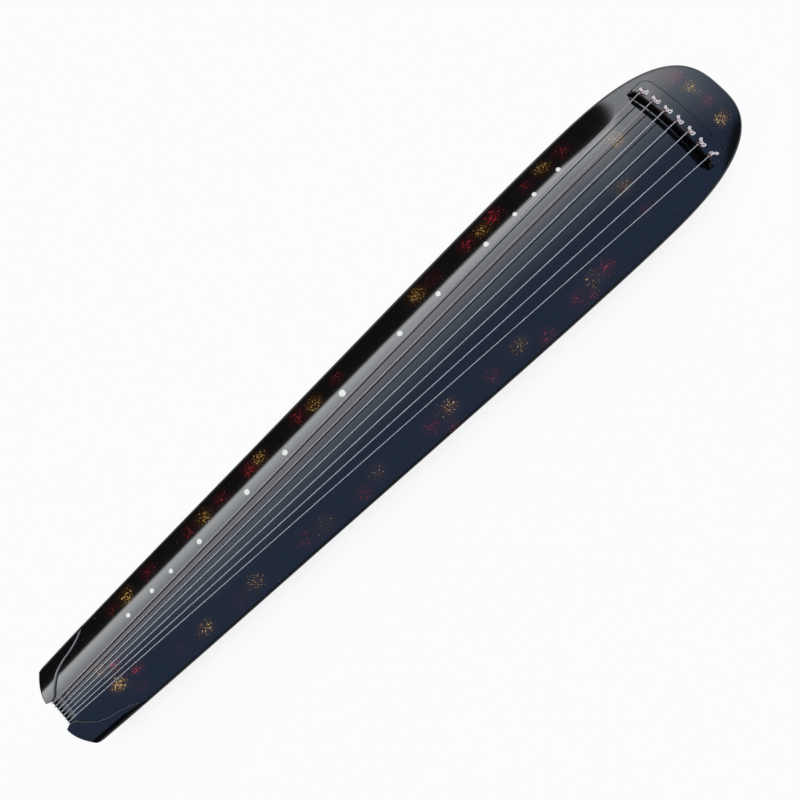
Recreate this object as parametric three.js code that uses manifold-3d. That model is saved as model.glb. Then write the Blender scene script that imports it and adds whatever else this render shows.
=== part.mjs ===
// A guqin, the seven-string zither, lying face up on its two feet and its two peg guards.
// Millimetres. +X runs to the head, +Y to the far side where string 1 lies, +Z up.
// The origin is on the table under the middle of the instrument.
import * as THREE from "three";
import { mergeVertices } from "three/addons/utils/BufferGeometryUtils.js";
import Module from "manifold-3d";

// Body outline
const bodyLength = 1230;
const bodyWidth = 203;
const tailWidth = 129;
const headLength = 211;
const tailCornerBack = 15.6;
const tailCornerRound = 5;
const tipWidth = 44.4;
const notchWidth = 37.2;
const notchDepth = 8.7;
const headCurveShare = 2.8;
const headFallShare = 5;
const taperShares = [[-0.13, 0.939], [0, 1], [0.13, 0.939], [0.27, 0.813], [0.53, 0.54],
  [0.8, 0.26], [0.93, 0.105], [1, 0], [1.1, -0.15]];

// Body thickness, measured up from the underside
const standHeight = 30;
const bottomThickness = 10;
const edgeThickness = 29.5;
const tailThickness = 39.5;
const shoulderThickness = 53.5;
const bridgeThickness = 50;
const headThickness = 45;
const shoulderShare = 0.785;
const edgeRound = 5;
const undersideRound = 3;
const sideLean = 3;
const outlineStep = 60;

// Hollow inside the top board
const headBlockLength = 150;
const tailBlockLength = 78;
const topWall = 11;
const sideWall = 17;
const soundPadDrop = 7;
const soundPadMargin = 14;
const postPadDrop = 2;

// Places along the speaking length, counted from the bridge
const bridgeFromHead = 99.5;
const nutFromTail = 25.1;
const longHoleShare = 0.374;
const shortHoleShare = 0.816;
const footShare = 0.7071;
const heavenPostShare = 0.215;
const earthPostShare = 0.6;
const huiShares = [1 / 8, 1 / 6, 1 / 5, 1 / 4, 1 / 3, 2 / 5, 1 / 2, 3 / 5, 2 / 3, 3 / 4, 4 / 5, 5 / 6, 7 / 8];
const huiSizeShares = [0.65, 0.65, 0.65, 0.75, 0.75, 0.8, 1, 0.8, 0.8, 0.75, 0.65, 0.65, 0.65];

// Sound holes
const longHoleLength = 210;
const longHoleWidth = 26;
const shortHoleLength = 106;
const shortHoleWidth = 24;

// Posts and foot block
const heavenPostWidth = 14;
const earthPostWidth = 13;
const footBlockLength = 40;
const footBlockFromWall = 3;
const footBlockHeight = 13;

// Bridge and head inlay
const bridgeHeight = 12;
const bridgeTop = 4.2;
const bridgeBase = 8.2;
const bridgeWidthShare = 0.74;
const bridgeEndSlope = 7;
const bridgeToeHeight = 1.6;
const bridgeSeat = 4;
const bridgeTopRound = 0.8;
const inlayLength = 25.6;
const inlayRound = 11;
const inlayThickness = 3;
const inlayRise = 0.3;

// Tail fittings
const nutLength = 22;
const nutWidth = 37.2;
const nutHeight = 9;
const nutRise = 2.5;
const nutEndDrop = 1;
const nutRound = 3.5;
const saddleLength = 16;
const saddleHeight = 8;
const saddleRise = 1.5;
const saddleRound = 3.5;
const endFaceInset = 1;
const capLength = 103;
const capDepth = 7.5;
const capRise = 1.2;
const capEdgeShares = [[0, 0], [0.1, 0.05], [0.17, 0.2], [0.25, 0.345], [0.33, 0.465], [0.42, 0.54],
  [0.52, 0.6], [0.62, 0.635], [0.735, 0.695], [0.84, 0.775], [0.92, 0.86], [1, 1.03]];

// Markers
const huiLargest = 10;
const huiThickness = 1.4;
const huiRise = 0.1;
const huiLineAtBridge = 70.6;
const huiLineSlopeShare = 0.0395;
const huiGap = 0.2;

// Peg pool, pegs and guards
const cordHoleFromBridge = 17;
const cordHoleWidth = 5.4;
const poolLength = 25;
const poolFromPeg = 1.3;
const pegBoardLip = 3;
const pegBoardThickness = 4;
const pegLength = 36;
const pegBoreWidth = 4.4;
const pegBoreDepth = 13;
const pegCrossWidth = 3.6;
const pegCrossDepth = 8.5;
const pegHeadRadius = 8.4;
const pegWaistRadius = 5.6;
const pegBellyRadius = 8.4;
const pegTipRadius = 4.2;
const pegFacets = 8;
const pegDepthShares = [0, 0.07, 0.11, 0.17, 0.37, 0.45, 0.58, 0.8, 0.94, 1];
const guardLength = 34;
const guardThickness = 9;
const guardFromPool = 2;
const guardBack = 7.4;
const guardFootLength = 28;
const guardWaist = 6;

// Feet
const footSpacingShare = 0.375;
const footTenonWidth = 16;
const footTenonHeight = 21;
const footNeckRadius = 8.5;
const footCollarRadius = 12;
const footBaseRadius = 13.5;
const footDepthShares = [0, 0.03, 0.07, 0.7, 0.78, 0.87, 0.95, 1];

// Strings, knots and cords
const stringCount = 7;
const stringSpanShare = 0.609;
const stringSpanAtTail = 33.2;
const stringWidths = [1.7, 1.6, 1.5, 1.4, 1.3, 1.2, 1.1];
const farFootStrings = 4;
const knotWidth = 13.6;
const knotDepth = 6.8;
const knotWireWidth = 2.3;
const knotBehindTop = 6.2;
const knotBelowTop = 4.4;
const knotTurns = [0, 5, 0, 10, 16, 16, 38];
const knotTilts = [0, 0, 0, 0, 0, 0, -78];
const knotSetBacks = [0, 0, 0, 0, 0, 0, 1.6];
const knotLifts = [0, 0, 0, 0, 0, 0, 1.6];
const windingTurns = 1.75;
const windingSteps = 14;
const windingGap = 0.5;
const windingFromBoard = 3.5;
const cordWidth = 1.6;
const cordRise = 8;
const cordBelowBridge = 0.5;
const tieTurns = 1.5;

// Clearances and overruns
const gap = 0.3;
const wireGap = 0.5;
const overrun = 2;
const holeFacets = 12;

// Steps and sides of the wound pieces
const knotSteps = 26;
const neckSteps = 8;
const stringSides = 6;
const cordSteps = 24;
const cordSides = 5;
const tieSteps = 10;

const wasm = await Module();
wasm.setup();

// Derived places
const tailX = -bodyLength / 2;
const headX = bodyLength / 2;
const widestX = headX - headLength;
const cornerX = tailX + tailCornerBack;
const underZ = standHeight;
const jointZ = underZ + bottomThickness;
const bridgeX = headX - bridgeFromHead;
const nutX = tailX + nutFromTail;
const notchX = tailX + notchDepth;
const speakingLength = bridgeX - nutX;
const alongString = (share) => bridgeX - share * speakingLength;
const footX = alongString(footShare);
const cordHoleX = bridgeX + cordHoleFromBridge;
const bridgeWidth = bodyWidth * bridgeWidthShare;
const inlayWidth = bridgeWidth;
const stringSpanAtBridge = bodyWidth * stringSpanShare;
const poolWidth = stringSpanAtBridge + (pegHeadRadius + poolFromPeg) * 2;
const footSpacing = bodyWidth * footSpacingShare;

const group = new THREE.Group();
const finish = (color, roughness, metalness = 0) => new THREE.MeshStandardMaterial({ color, roughness, metalness });
const blackLacquer = () => finish(0x17181c, 0.12);
const blackHardwood = () => finish(0x0e0e10, 0.2);
const bareWood = () => finish(0xb99a6b, 0.7);
const pegWood = () => finish(0x2a1712, 0.3);
const shell = () => finish(0xe9eae4, 0.25);
const stringSilk = () => finish(0xd6d6da, 0.35);
const redCord = () => finish(0x5a1218, 0.8);

function add(name, geometry, material) {
  const mesh = new THREE.Mesh(geometry, material);
  mesh.name = name;
  group.add(mesh);
  return mesh;
}

// A smooth curve through a table of [place, value] pairs, straight beyond its ends
function smooth(table, place) {
  const last = table.length - 2;
  let i = table.findIndex((pair) => pair[0] > place) - 1;
  if (i < 0) i = place <= table[0][0] ? 0 : last;
  const slopeAt = (k) => {
    const a = table[Math.max(k - 1, 0)];
    const b = table[Math.min(k + 1, table.length - 1)];
    return (b[1] - a[1]) / (b[0] - a[0]);
  };
  const [x0, y0] = table[i];
  const [x1, y1] = table[i + 1];
  const width = x1 - x0;
  const t = (place - x0) / width;
  if (t < 0) return y0 + slopeAt(i) * (place - x0);
  if (t > 1) return y1 + slopeAt(i + 1) * (place - x1);
  const start = slopeAt(i) * width;
  const end = slopeAt(i + 1) * width;
  return y0 * (2 * t ** 3 - 3 * t ** 2 + 1) + start * (t ** 3 - 2 * t ** 2 + t)
    + y1 * (3 * t ** 2 - 2 * t ** 3) + end * (t ** 3 - t ** 2);
}

// Half the body's width: a taper to the tail, and a superellipse round the head
function taperHalf(x) {
  const share = smooth(taperShares, (widestX - x) / (widestX - cornerX));
  return (tailWidth + (bodyWidth - tailWidth) * share) / 2;
}

// The curve stops just short of its tip, where a small flat closes the head
const headEndAngle = Math.PI / 60;
const headEndShare = Math.cos(headEndAngle) ** (2 / headCurveShare);

function headHalf(x) {
  const along = Math.min((x - widestX) / headLength, 1) * headEndShare;
  return (bodyWidth / 2) * (1 - along ** headCurveShare) ** (1 / headCurveShare);
}

const halfWidth = (x) => (x > widestX ? headHalf(x) : taperHalf(x));

// Stations along the body, closer together round the head
function bodyStations() {
  const stations = [tailX - overrun];
  const taperCount = Math.round((widestX - cornerX) / outlineStep);
  for (let i = 0; i <= taperCount; i += 1) {
    stations.push(cornerX + (widestX - cornerX) * i / taperCount);
  }
  const headCount = 13;
  for (let i = 1; i <= headCount; i += 1) {
    const angle = Math.max((1 - i / headCount) * Math.PI / 2, headEndAngle);
    stations.push(widestX + headLength * Math.cos(angle) ** (2 / headCurveShare) / headEndShare);
  }
  return stations;
}

const stations = bodyStations();
const rimLine = stations.map((x) => new THREE.Vector2(x, halfWidth(x))).concat(new THREE.Vector2(headX, 0));

// How far a place lies in from the side edge
function fromEdge(x, y) {
  const place = new THREE.Vector2(x, Math.abs(y));
  let nearest = Infinity;
  for (let i = 1; i < rimLine.length; i += 1) {
    const run = rimLine[i].clone().sub(rimLine[i - 1]);
    const share = THREE.MathUtils.clamp(place.clone().sub(rimLine[i - 1]).dot(run) / run.lengthSq(), 0, 1);
    nearest = Math.min(nearest, place.distanceTo(rimLine[i - 1].clone().addScaledVector(run, share)));
  }
  return nearest;
}

// Height of the ridge of the top board, with the gentle fall towards head and tail
const crownTable = [
  [0, tailThickness],
  [shoulderShare, shoulderThickness],
  [(bridgeX - tailX) / bodyLength, bridgeThickness],
  [1, headThickness],
];
const crownZ = (x) => underZ + smooth(crownTable, (x - tailX) / bodyLength);

// The arched top, before its edge is rounded. Round the head it falls to the edge's height all along the rim
function archZ(x, y) {
  const rise = crownZ(x) - underZ - edgeThickness;
  if (x <= widestX) return crownZ(x) - rise * (y / taperHalf(x)) ** 2;
  const across = Math.min(Math.abs(y) * 2 / bodyWidth, headEndShare);
  const reach = (1 - across ** headCurveShare) ** (1 / headCurveShare);
  const along = Math.min((x - widestX) / headLength / reach, 1);
  const fall = across ** 2 + (1 - across ** 2) * along ** headFallShare;
  return crownZ(x) - rise * fall;
}

function topZ(x, y) {
  const inward = Math.min(fromEdge(x, y), edgeRound);
  return archZ(x, y) - edgeRound + Math.sqrt(edgeRound ** 2 - (edgeRound - inward) ** 2);
}

// Turns a mesh's triangles to face outwards, and gives it normals
function closed(geometry) {
  const solid = geometry;
  solid.deleteAttribute("normal");
  solid.deleteAttribute("uv");
  const merged = mergeVertices(solid, 0.0001);
  const index = merged.index.array;
  const place = merged.attributes.position;
  const [a, b, c] = [new THREE.Vector3(), new THREE.Vector3(), new THREE.Vector3()];
  let volume = 0;
  for (let i = 0; i < index.length; i += 3) {
    a.fromBufferAttribute(place, index[i]);
    b.fromBufferAttribute(place, index[i + 1]);
    c.fromBufferAttribute(place, index[i + 2]);
    volume += a.dot(b.cross(c));
  }
  if (volume < 0) {
    for (let i = 0; i < index.length; i += 3) {
      [index[i + 1], index[i + 2]] = [index[i + 2], index[i + 1]];
    }
  }
  merged.computeVertexNormals();
  return merged;
}

// A closed solid through rings of equally many points, with flat ends
function loft(rings, closedLoop = false) {
  const points = [];
  const index = [];
  const size = rings[0].length;
  rings.forEach((ring) => ring.forEach((p) => points.push(p.x, p.y, p.z)));
  const spans = closedLoop ? rings.length : rings.length - 1;
  for (let r = 0; r < spans; r += 1) {
    const next = (r + 1) % rings.length;
    for (let k = 0; k < size; k += 1) {
      const j = (k + 1) % size;
      const [p, q, s, t] = [r * size + k, r * size + j, next * size + j, next * size + k];
      index.push(p, q, s, p, s, t);
    }
  }
  if (!closedLoop) {
    [0, rings.length - 1].forEach((r) => {
      const ring = rings[r];
      const normal = new THREE.Vector3();
      for (let k = 0; k < size; k += 1) normal.add(ring[k].clone().cross(ring[(k + 1) % size]));
      normal.normalize();
      const side = Math.abs(normal.z) > 0.5 ? new THREE.Vector3(1, 0, 0) : new THREE.Vector3(0, 0, 1);
      const across = side.clone().cross(normal).normalize();
      const up = normal.clone().cross(across);
      const flat = ring.map((p) => new THREE.Vector2(p.dot(across), p.dot(up)));
      THREE.ShapeUtils.triangulateShape(flat, []).forEach(([p, q, s]) => {
        const corners = r === 0 ? [p, s, q] : [p, q, s];
        index.push(...corners.map((k) => r * size + k));
      });
    });
  }
  const geometry = new THREE.BufferGeometry();
  geometry.setAttribute("position", new THREE.Float32BufferAttribute(points, 3));
  geometry.setIndex(index);
  return closed(geometry);
}

// Booleans
function solidOf(geometry) {
  const clean = closed(geometry.clone());
  const vertProperties = new Float32Array(clean.attributes.position.array);
  const triVerts = new Uint32Array(clean.index.array);
  return new wasm.Manifold(new wasm.Mesh({ numProp: 3, vertProperties, triVerts }));
}

function geometryOf(solid) {
  const mesh = solid.getMesh();
  const geometry = new THREE.BufferGeometry();
  geometry.setAttribute("position", new THREE.Float32BufferAttribute(mesh.vertProperties, 3));
  geometry.setIndex(new THREE.Uint32BufferAttribute(mesh.triVerts, 1));
  geometry.computeVertexNormals();
  return geometry;
}

const cutAll = (geometry, cutters) => geometryOf(
  cutters.reduce((solid, cutter) => solid.subtract(solidOf(cutter)), solidOf(geometry)),
);

// An upright prism over a plan outline
function prism(outline, lowZ, highZ) {
  const geometry = new THREE.ExtrudeGeometry(new THREE.Shape(outline), {
    depth: highZ - lowZ, bevelEnabled: false, curveSegments: 1,
  });
  geometry.translate(0, 0, lowZ);
  return closed(geometry);
}

// A prism along Y over an outline drawn in X and Z
function barAcross(outline, width) {
  const geometry = new THREE.ExtrudeGeometry(new THREE.Shape(outline), { depth: width, bevelEnabled: false });
  geometry.rotateX(Math.PI / 2);
  geometry.translate(0, width / 2, 0);
  return closed(geometry);
}

function rectangle(x, y, lengthX, lengthY) {
  const [a, b] = [lengthX / 2, lengthY / 2];
  return [[x - a, y - b], [x + a, y - b], [x + a, y + b], [x - a, y + b]].map(([u, v]) => new THREE.Vector2(u, v));
}

function block(x, y, lengthX, lengthY, lowZ, highZ) {
  return prism(rectangle(x, y, lengthX, lengthY), lowZ, highZ);
}

// A plan rectangle with rounded ends or corners
function roundedRectangle(x, y, lengthX, lengthY, radius, steps) {
  const corners = [[1, 1, 0], [-1, 1, 1], [-1, -1, 2], [1, -1, 3]];
  return corners.flatMap(([sx, sy, quarter]) => {
    const centre = new THREE.Vector2(x + sx * (lengthX / 2 - radius), y + sy * (lengthY / 2 - radius));
    return Array.from({ length: steps + 1 }, (_, i) => {
      const angle = (quarter + i / steps) * Math.PI / 2;
      return new THREE.Vector2(Math.cos(angle), Math.sin(angle)).multiplyScalar(radius).add(centre);
    });
  });
}

function upright(x, y, radius, lowZ, highZ, facets = holeFacets) {
  const geometry = new THREE.CylinderGeometry(radius, radius, highZ - lowZ, facets);
  geometry.rotateX(Math.PI / 2);
  geometry.translate(x, y, (lowZ + highZ) / 2);
  return geometry;
}

// Shares of the half width where the arch has points
const archShares = [0, 0.25, 0.5, 0.72, 0.9];
const archPlaces = (half) => archShares.flatMap((share) => (share ? [-share * half, share * half] : [0]));
const byPlace = (a, b) => a - b;

// A layer that follows the arched top between two offsets from it
function topLayer(fromX, toX, low, high, widen) {
  const inner = stations.filter((x) => x > fromX + overrun && x < toX - overrun);
  const rings = [fromX, ...inner, toX].map((x) => {
    const half = halfWidth(Math.min(x, headX - gap)) + widen;
    const across = [...archPlaces(half), -half, half].sort(byPlace);
    const lower = across.map((y) => new THREE.Vector3(x, y, archZ(x, y) + low));
    const upper = across.map((y) => new THREE.Vector3(x, y, archZ(x, y) + high));
    return [...lower, ...upper.reverse()];
  });
  return loft(rings);
}

// How far the side wall leans in below its straight height
const leanAt = (z) => sideLean * Math.max(1 - (z - underZ) / (edgeThickness - edgeRound), 0);

// One section through the top board, from the near joint over the ridge to the far joint
function boardSection(x) {
  const half = halfWidth(x);
  const round = Math.min(edgeRound, half / 2);
  const insets = [0, 1, 2, 3].map((i) => round * (1 - Math.cos(i * Math.PI / 6)));
  const places = archPlaces(half - round);
  insets.forEach((inset) => places.push(half - inset, inset - half));
  const top = places.sort(byPlace).map((y) => new THREE.Vector3(x, y, topZ(x, y)));
  const foot = half - leanAt(jointZ);
  return [new THREE.Vector3(x, -foot, jointZ), ...top, new THREE.Vector3(x, foot, jointZ)];
}

// The body's plan at a height, drawn in by the lean of the side and by a further inset
function planRing(z, inset) {
  const drawn = leanAt(z) - leanAt(jointZ) + inset;
  const side = stations.map((x) => {
    const along = Math.max((x - widestX) / headLength, 0);
    return new THREE.Vector3(x - drawn * along, halfWidth(x) - leanAt(z) - inset, z);
  });
  const near = side.map((p) => new THREE.Vector3(p.x, -p.y, z)).reverse();
  return [...side, ...near];
}

// Everything beyond the tail end: two bulged ends with rounded corners and the notch for the strings
function tailCutter() {
  const [lowZ, highZ] = [0, underZ + shoulderThickness * 2];
  const far = tailX - tailWidth;
  const cornerY = halfWidth(cornerX);
  const innerX = cornerX + tailCornerRound;
  const bulgeY = (cornerY + tipWidth / 2) / 2;
  const shape = new THREE.Shape();
  shape.moveTo(far, -tailWidth);
  shape.lineTo(innerX, -tailWidth);
  shape.lineTo(innerX, -halfWidth(innerX));
  shape.quadraticCurveTo(cornerX, -cornerY, cornerX - tailCornerRound / 2, tailCornerRound - cornerY);
  shape.quadraticCurveTo(tailX, -bulgeY, tailX, -tipWidth / 2);
  shape.lineTo(notchX, -notchWidth / 2);
  shape.lineTo(notchX, notchWidth / 2);
  shape.lineTo(tailX, tipWidth / 2);
  shape.quadraticCurveTo(tailX, bulgeY, cornerX - tailCornerRound / 2, cornerY - tailCornerRound);
  shape.quadraticCurveTo(cornerX, cornerY, innerX, halfWidth(innerX));
  shape.lineTo(innerX, tailWidth);
  shape.lineTo(far, tailWidth);
  const geometry = new THREE.ExtrudeGeometry(shape, { depth: highZ - lowZ, bevelEnabled: false, curveSegments: 5 });
  geometry.translate(0, 0, lowZ);
  return closed(geometry);
}

// Sound holes, posts and pads
const longHoleX = alongString(longHoleShare);
const shortHoleX = alongString(shortHoleShare);
const holePlan = (x, length, width, margin) => roundedRectangle(
  x, 0, length + margin * 2, width + margin * 2, (width + margin * 2) / 2 - gap, 5,
);
const posts = [
  { name: "heaven_post", x: alongString(heavenPostShare), width: heavenPostWidth, facets: 16 },
  { name: "earth_post", x: alongString(earthPostShare), width: earthPostWidth, facets: 4 },
].map((post) => ({ ...post, topZ: archZ(post.x, 0) - topWall - postPadDrop }));

function hollow() {
  const fromX = tailX + tailBlockLength;
  const toX = headX - headBlockLength;
  const count = Math.round((toX - fromX) / outlineStep);
  const rings = Array.from({ length: count + 1 }, (_, i) => {
    const x = fromX + (toX - fromX) * i / count;
    const half = halfWidth(x) - sideWall;
    const ceiling = [-1, -0.6, 0, 0.6, 1].map((share) => (
      new THREE.Vector3(x, share * half, archZ(x, share * half) - topWall)));
    return [new THREE.Vector3(x, -half, jointZ - overrun), ...ceiling, new THREE.Vector3(x, half, jointZ - overrun)];
  });
  const pads = [[longHoleX, longHoleLength, longHoleWidth], [shortHoleX, shortHoleLength, shortHoleWidth]];
  let space = solidOf(loft(rings));
  pads.forEach(([x, length, width]) => {
    const reach = length / 2 + soundPadMargin * 2;
    const layer = solidOf(topLayer(x - reach, x + reach, -topWall - soundPadDrop, 0, 0));
    const plan = solidOf(prism(holePlan(x, length, width, soundPadMargin), jointZ, underZ + shoulderThickness * 2));
    space = space.subtract(layer.intersect(plan));
  });
  posts.forEach((post) => {
    const pad = upright(post.x, 0, post.width, post.topZ, post.topZ + topWall, holeFacets);
    space = space.subtract(solidOf(pad));
  });
  return geometryOf(space);
}

// Tail caps: inlays whose inner edge swings from the notch out to the side
const capPoints = capEdgeShares.map(([along, out]) => new THREE.Vector2(
  notchX + along * (capLength - notchDepth),
  notchWidth / 2 + out * (halfWidth(tailX + capLength) - notchWidth / 2),
));

function capPlan(side, clearance) {
  const curve = new THREE.SplineCurve(capPoints).getPoints(14);
  const edge = curve.map((p, i) => {
    const run = curve[Math.min(i + 1, curve.length - 1)].clone().sub(curve[Math.max(i - 1, 0)]).normalize();
    return new THREE.Vector2(p.x + run.y * clearance, p.y - run.x * clearance);
  });
  const last = edge[edge.length - 1];
  const outer = [
    new THREE.Vector2(last.x, tailWidth), new THREE.Vector2(tailX - tailWidth, tailWidth),
    new THREE.Vector2(tailX - tailWidth, edge[0].y),
  ];
  return [...edge, ...outer].map((p) => new THREE.Vector2(p.x, p.y * side));
}

function capSolid(side, low, high, clearance, widen) {
  const layer = solidOf(topLayer(tailX - overrun, tailX + capLength + overrun * 3, low, high, widen));
  return layer.intersect(solidOf(prism(capPlan(side, clearance), 0, underZ + shoulderThickness * 2)));
}

// Body of the cap with the board's rounded side edge
function tailCap(side) {
  const rings = stations.filter((x) => x < tailX + capLength * 2).map((x) => (
    boardSection(x).map((p, i, all) => {
      const atJoint = i === 0 || i === all.length - 1;
      return new THREE.Vector3(p.x, p.y, atJoint ? p.z : p.z + capRise);
    })));
  const raised = solidOf(loft(rings)).intersect(capSolid(side, -capDepth, capRise * 2, 0, overrun));
  return geometryOf(raised.subtract(solidOf(tailCutter())));
}

// Bridge: a bar along the arch with an upright tail face, and ends that sweep down to a toe
function bridgeRing(y, height) {
  const z = archZ(bridgeX, y);
  const round = Math.min(bridgeTopRound, height / 3);
  const outline = [
    [0, -bridgeSeat], [0, height - round], [round, height], [bridgeTop - round, height],
    [bridgeTop, height - round], [bridgeTop + (bridgeBase - bridgeTop) / 8, height / 2],
    [bridgeBase, bridgeToeHeight / 2], [bridgeBase, -bridgeSeat],
  ];
  return outline.map(([x, up]) => new THREE.Vector3(bridgeX + x, y, z + up));
}

function bridge() {
  const endShares = [[0, 0], [0.15, 0.05], [0.35, 0.2], [0.6, 0.52], [0.85, 0.88], [1, 1]];
  const ends = endShares.map(([inward, up]) => [
    bridgeWidth / 2 - inward * bridgeEndSlope, bridgeToeHeight + up * (bridgeHeight - bridgeToeHeight)]);
  const inner = bridgeWidth / 2 - bridgeEndSlope;
  const middle = [0.8, 0.6, 0.4, 0.2, 0].map((share) => [share * inner, bridgeHeight]);
  const side = [...ends, ...middle];
  const other = side.slice(0, -1).reverse().map(([y, height]) => [-y, height]);
  return loft([...side, ...other].map(([y, height]) => bridgeRing(y, height)));
}

function bridgeSlot() {
  const reach = bridgeWidth / 2 + gap;
  const places = [1, 0.75, 0.5, 0.25, 0, -0.25, -0.5, -0.75, -1].map((share) => share * reach);
  return loft(places.map((y) => {
    const z = archZ(bridgeX, y);
    const corners = [[-gap, -bridgeSeat - gap], [-gap, bridgeHeight], [bridgeBase + gap, bridgeHeight],
      [bridgeBase + gap, -bridgeSeat - gap]];
    return corners.map(([x, up]) => new THREE.Vector3(bridgeX + x, y, z + up));
  }));
}

// Head inlay: a panel behind the bridge with two rounded corners
function inlayPlan(clearance) {
  const fromX = bridgeX + bridgeBase + gap - clearance;
  const toX = bridgeX + bridgeBase + gap + inlayLength + clearance;
  const half = inlayWidth / 2 + clearance;
  const plan = [new THREE.Vector2(fromX, half), new THREE.Vector2(fromX, -half)];
  [-1, 1].forEach((side) => {
    for (let i = 0; i <= 5; i += 1) {
      const angle = (side < 0 ? i / 5 - 1 : i / 5) * Math.PI / 2;
      plan.push(new THREE.Vector2(
        toX - inlayRound + inlayRound * Math.cos(angle),
        side * (half - inlayRound) + inlayRound * Math.sin(angle),
      ));
    }
  });
  return plan;
}

function inlayLayer(low, high, clearance) {
  const layer = solidOf(topLayer(bridgeX, bridgeX + bridgeBase + inlayLength * 1.5, low, high, 0));
  return layer.intersect(solidOf(prism(inlayPlan(clearance), jointZ, underZ + shoulderThickness * 2)));
}

// String places: evenly spaced at the bridge and at the tail
const stringShare = (i) => 0.5 - i / (stringCount - 1);
const bridgeY = (i) => stringShare(i) * stringSpanAtBridge;
const tailY = (i) => stringShare(i) * stringSpanAtTail;
const cordHoles = Array.from({ length: stringCount }, (_, i) => bridgeY(i));
const throughHoles = (lowZ, highZ) => cordHoles.map((y) => upright(cordHoleX, y, cordHoleWidth / 2, lowZ, highZ));

function headInlay() {
  const highZ = crownZ(bridgeX) + bridgeHeight;
  return cutAll(geometryOf(inlayLayer(-inlayThickness, inlayRise, 0)), throughHoles(jointZ, highZ));
}

// Markers: shell discs let in square to the arch
const huiPlaces = huiShares.map((share, i) => {
  const x = alongString(share);
  const y = huiLineAtBridge - (bridgeX - x) * huiLineSlopeShare;
  const step = huiLargest / 2;
  const tilt = Math.atan2(archZ(x, y - step) - archZ(x, y + step), step * 2);
  return { x, y, z: archZ(x, y), tilt, radius: huiSizeShares[i] * huiLargest / 2 };
});

function disc(radius, low, high) {
  const geometry = new THREE.CylinderGeometry(radius, radius, high - low, holeFacets);
  geometry.rotateX(Math.PI / 2);
  geometry.translate(0, 0, (low + high) / 2);
  return geometry;
}

const huiMatrix = (hui) => new THREE.Matrix4().makeRotationX(-hui.tilt).setPosition(hui.x, hui.y, hui.z);

// Tail nut: low ridge at the speaking end, sloping to a rounded edge over the tail
const nutTopZ = crownZ(nutX) + nutRise;
const nutEndZ = nutTopZ - nutEndDrop;
const nutLowZ = nutTopZ - nutHeight;
const arcPoints = (x, z, radius, from, to, steps) => Array.from({ length: steps + 1 }, (_, i) => {
  const angle = from + (to - from) * i / steps;
  return new THREE.Vector2(x + radius * Math.cos(angle), z + radius * Math.sin(angle));
});

function tailNut() {
  const outline = [
    new THREE.Vector2(notchX, nutLowZ),
    new THREE.Vector2(notchX + nutLength, nutLowZ),
    new THREE.Vector2(notchX + nutLength, nutTopZ - nutRise),
    new THREE.Vector2(nutX, nutTopZ),
    ...arcPoints(notchX + nutRound, nutEndZ - nutRound, nutRound, Math.PI / 2, Math.PI, 4),
  ];
  return barAcross(outline, nutWidth - gap * 2);
}

// Tail saddle: the rounded bar that turns the strings under the tail
const saddleLowZ = underZ - saddleRise;

function tailSaddle() {
  const highZ = saddleLowZ + saddleHeight;
  const outline = [
    ...arcPoints(notchX + saddleRound, saddleLowZ + saddleRound, saddleRound, Math.PI, Math.PI * 1.5, 4),
    new THREE.Vector2(notchX + saddleLength - saddleRise, saddleLowZ),
    new THREE.Vector2(notchX + saddleLength, underZ),
    new THREE.Vector2(notchX + saddleLength, highZ),
    new THREE.Vector2(notchX, highZ),
  ];
  return barAcross(outline, nutWidth - gap * 2);
}

// Room for the nut and the saddle, and a recess in the tail end between them
function tailCuts(highPart) {
  const from = notchX - notchDepth * 2;
  const reach = (length) => notchX + length + gap - from;
  const at = (length) => (from + notchX + length + gap) / 2;
  const nutCut = block(at(nutLength), 0, reach(nutLength), nutWidth, nutLowZ, nutTopZ + nutRise * 2);
  const saddleCut = block(at(saddleLength), 0, reach(saddleLength), nutWidth,
    saddleLowZ - overrun, saddleLowZ + saddleHeight + gap);
  const recess = block(at(endFaceInset), 0, reach(endFaceInset), nutWidth, underZ - overrun, nutLowZ + overrun);
  return highPart ? [nutCut, recess] : [saddleCut, recess];
}

// Peg board and pool
const poolPlan = (margin) => roundedRectangle(
  cordHoleX, 0, poolLength + margin * 2, poolWidth + margin * 2, poolLength / 6, 3,
);
const pegBoardPlan = (clearance) => rectangle(
  cordHoleX, 0, poolLength + (pegBoardLip + clearance) * 2, poolWidth + (pegBoardLip + clearance) * 2,
);

function pegBoard() {
  return cutAll(prism(pegBoardPlan(0), jointZ, jointZ + pegBoardThickness), throughHoles(underZ, bodyLength / 8));
}

// Boards
function topBoard() {
  const highZ = underZ + shoulderThickness * 2;
  const huiPockets = huiPlaces.map((hui) => {
    const pocket = disc(hui.radius + huiGap, -huiThickness - gap, huiThickness);
    return pocket.applyMatrix4(huiMatrix(hui));
  });
  return cutAll(loft(stations.map(boardSection)), [
    tailCutter(), hollow(), bridgeSlot(),
    geometryOf(inlayLayer(-inlayThickness - gap, bridgeHeight, gap)),
    geometryOf(capSolid(1, -capDepth - gap, capDepth * 2, gap, tailWidth / 8)),
    geometryOf(capSolid(-1, -capDepth - gap, capDepth * 2, gap, tailWidth / 8)),
    ...tailCuts(true), ...throughHoles(jointZ - overrun, highZ), ...huiPockets,
    prism(pegBoardPlan(gap), jointZ - overrun, jointZ + pegBoardThickness + gap),
  ]);
}

const footPlaces = [1, -1].map((side) => ({ x: footX, y: side * footSpacing / 2 }));
const footHoles = (lowZ, highZ) => footPlaces.map((foot) => block(
  foot.x, foot.y, footTenonWidth + gap * 2, footTenonWidth + gap * 2, lowZ, highZ));

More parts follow.
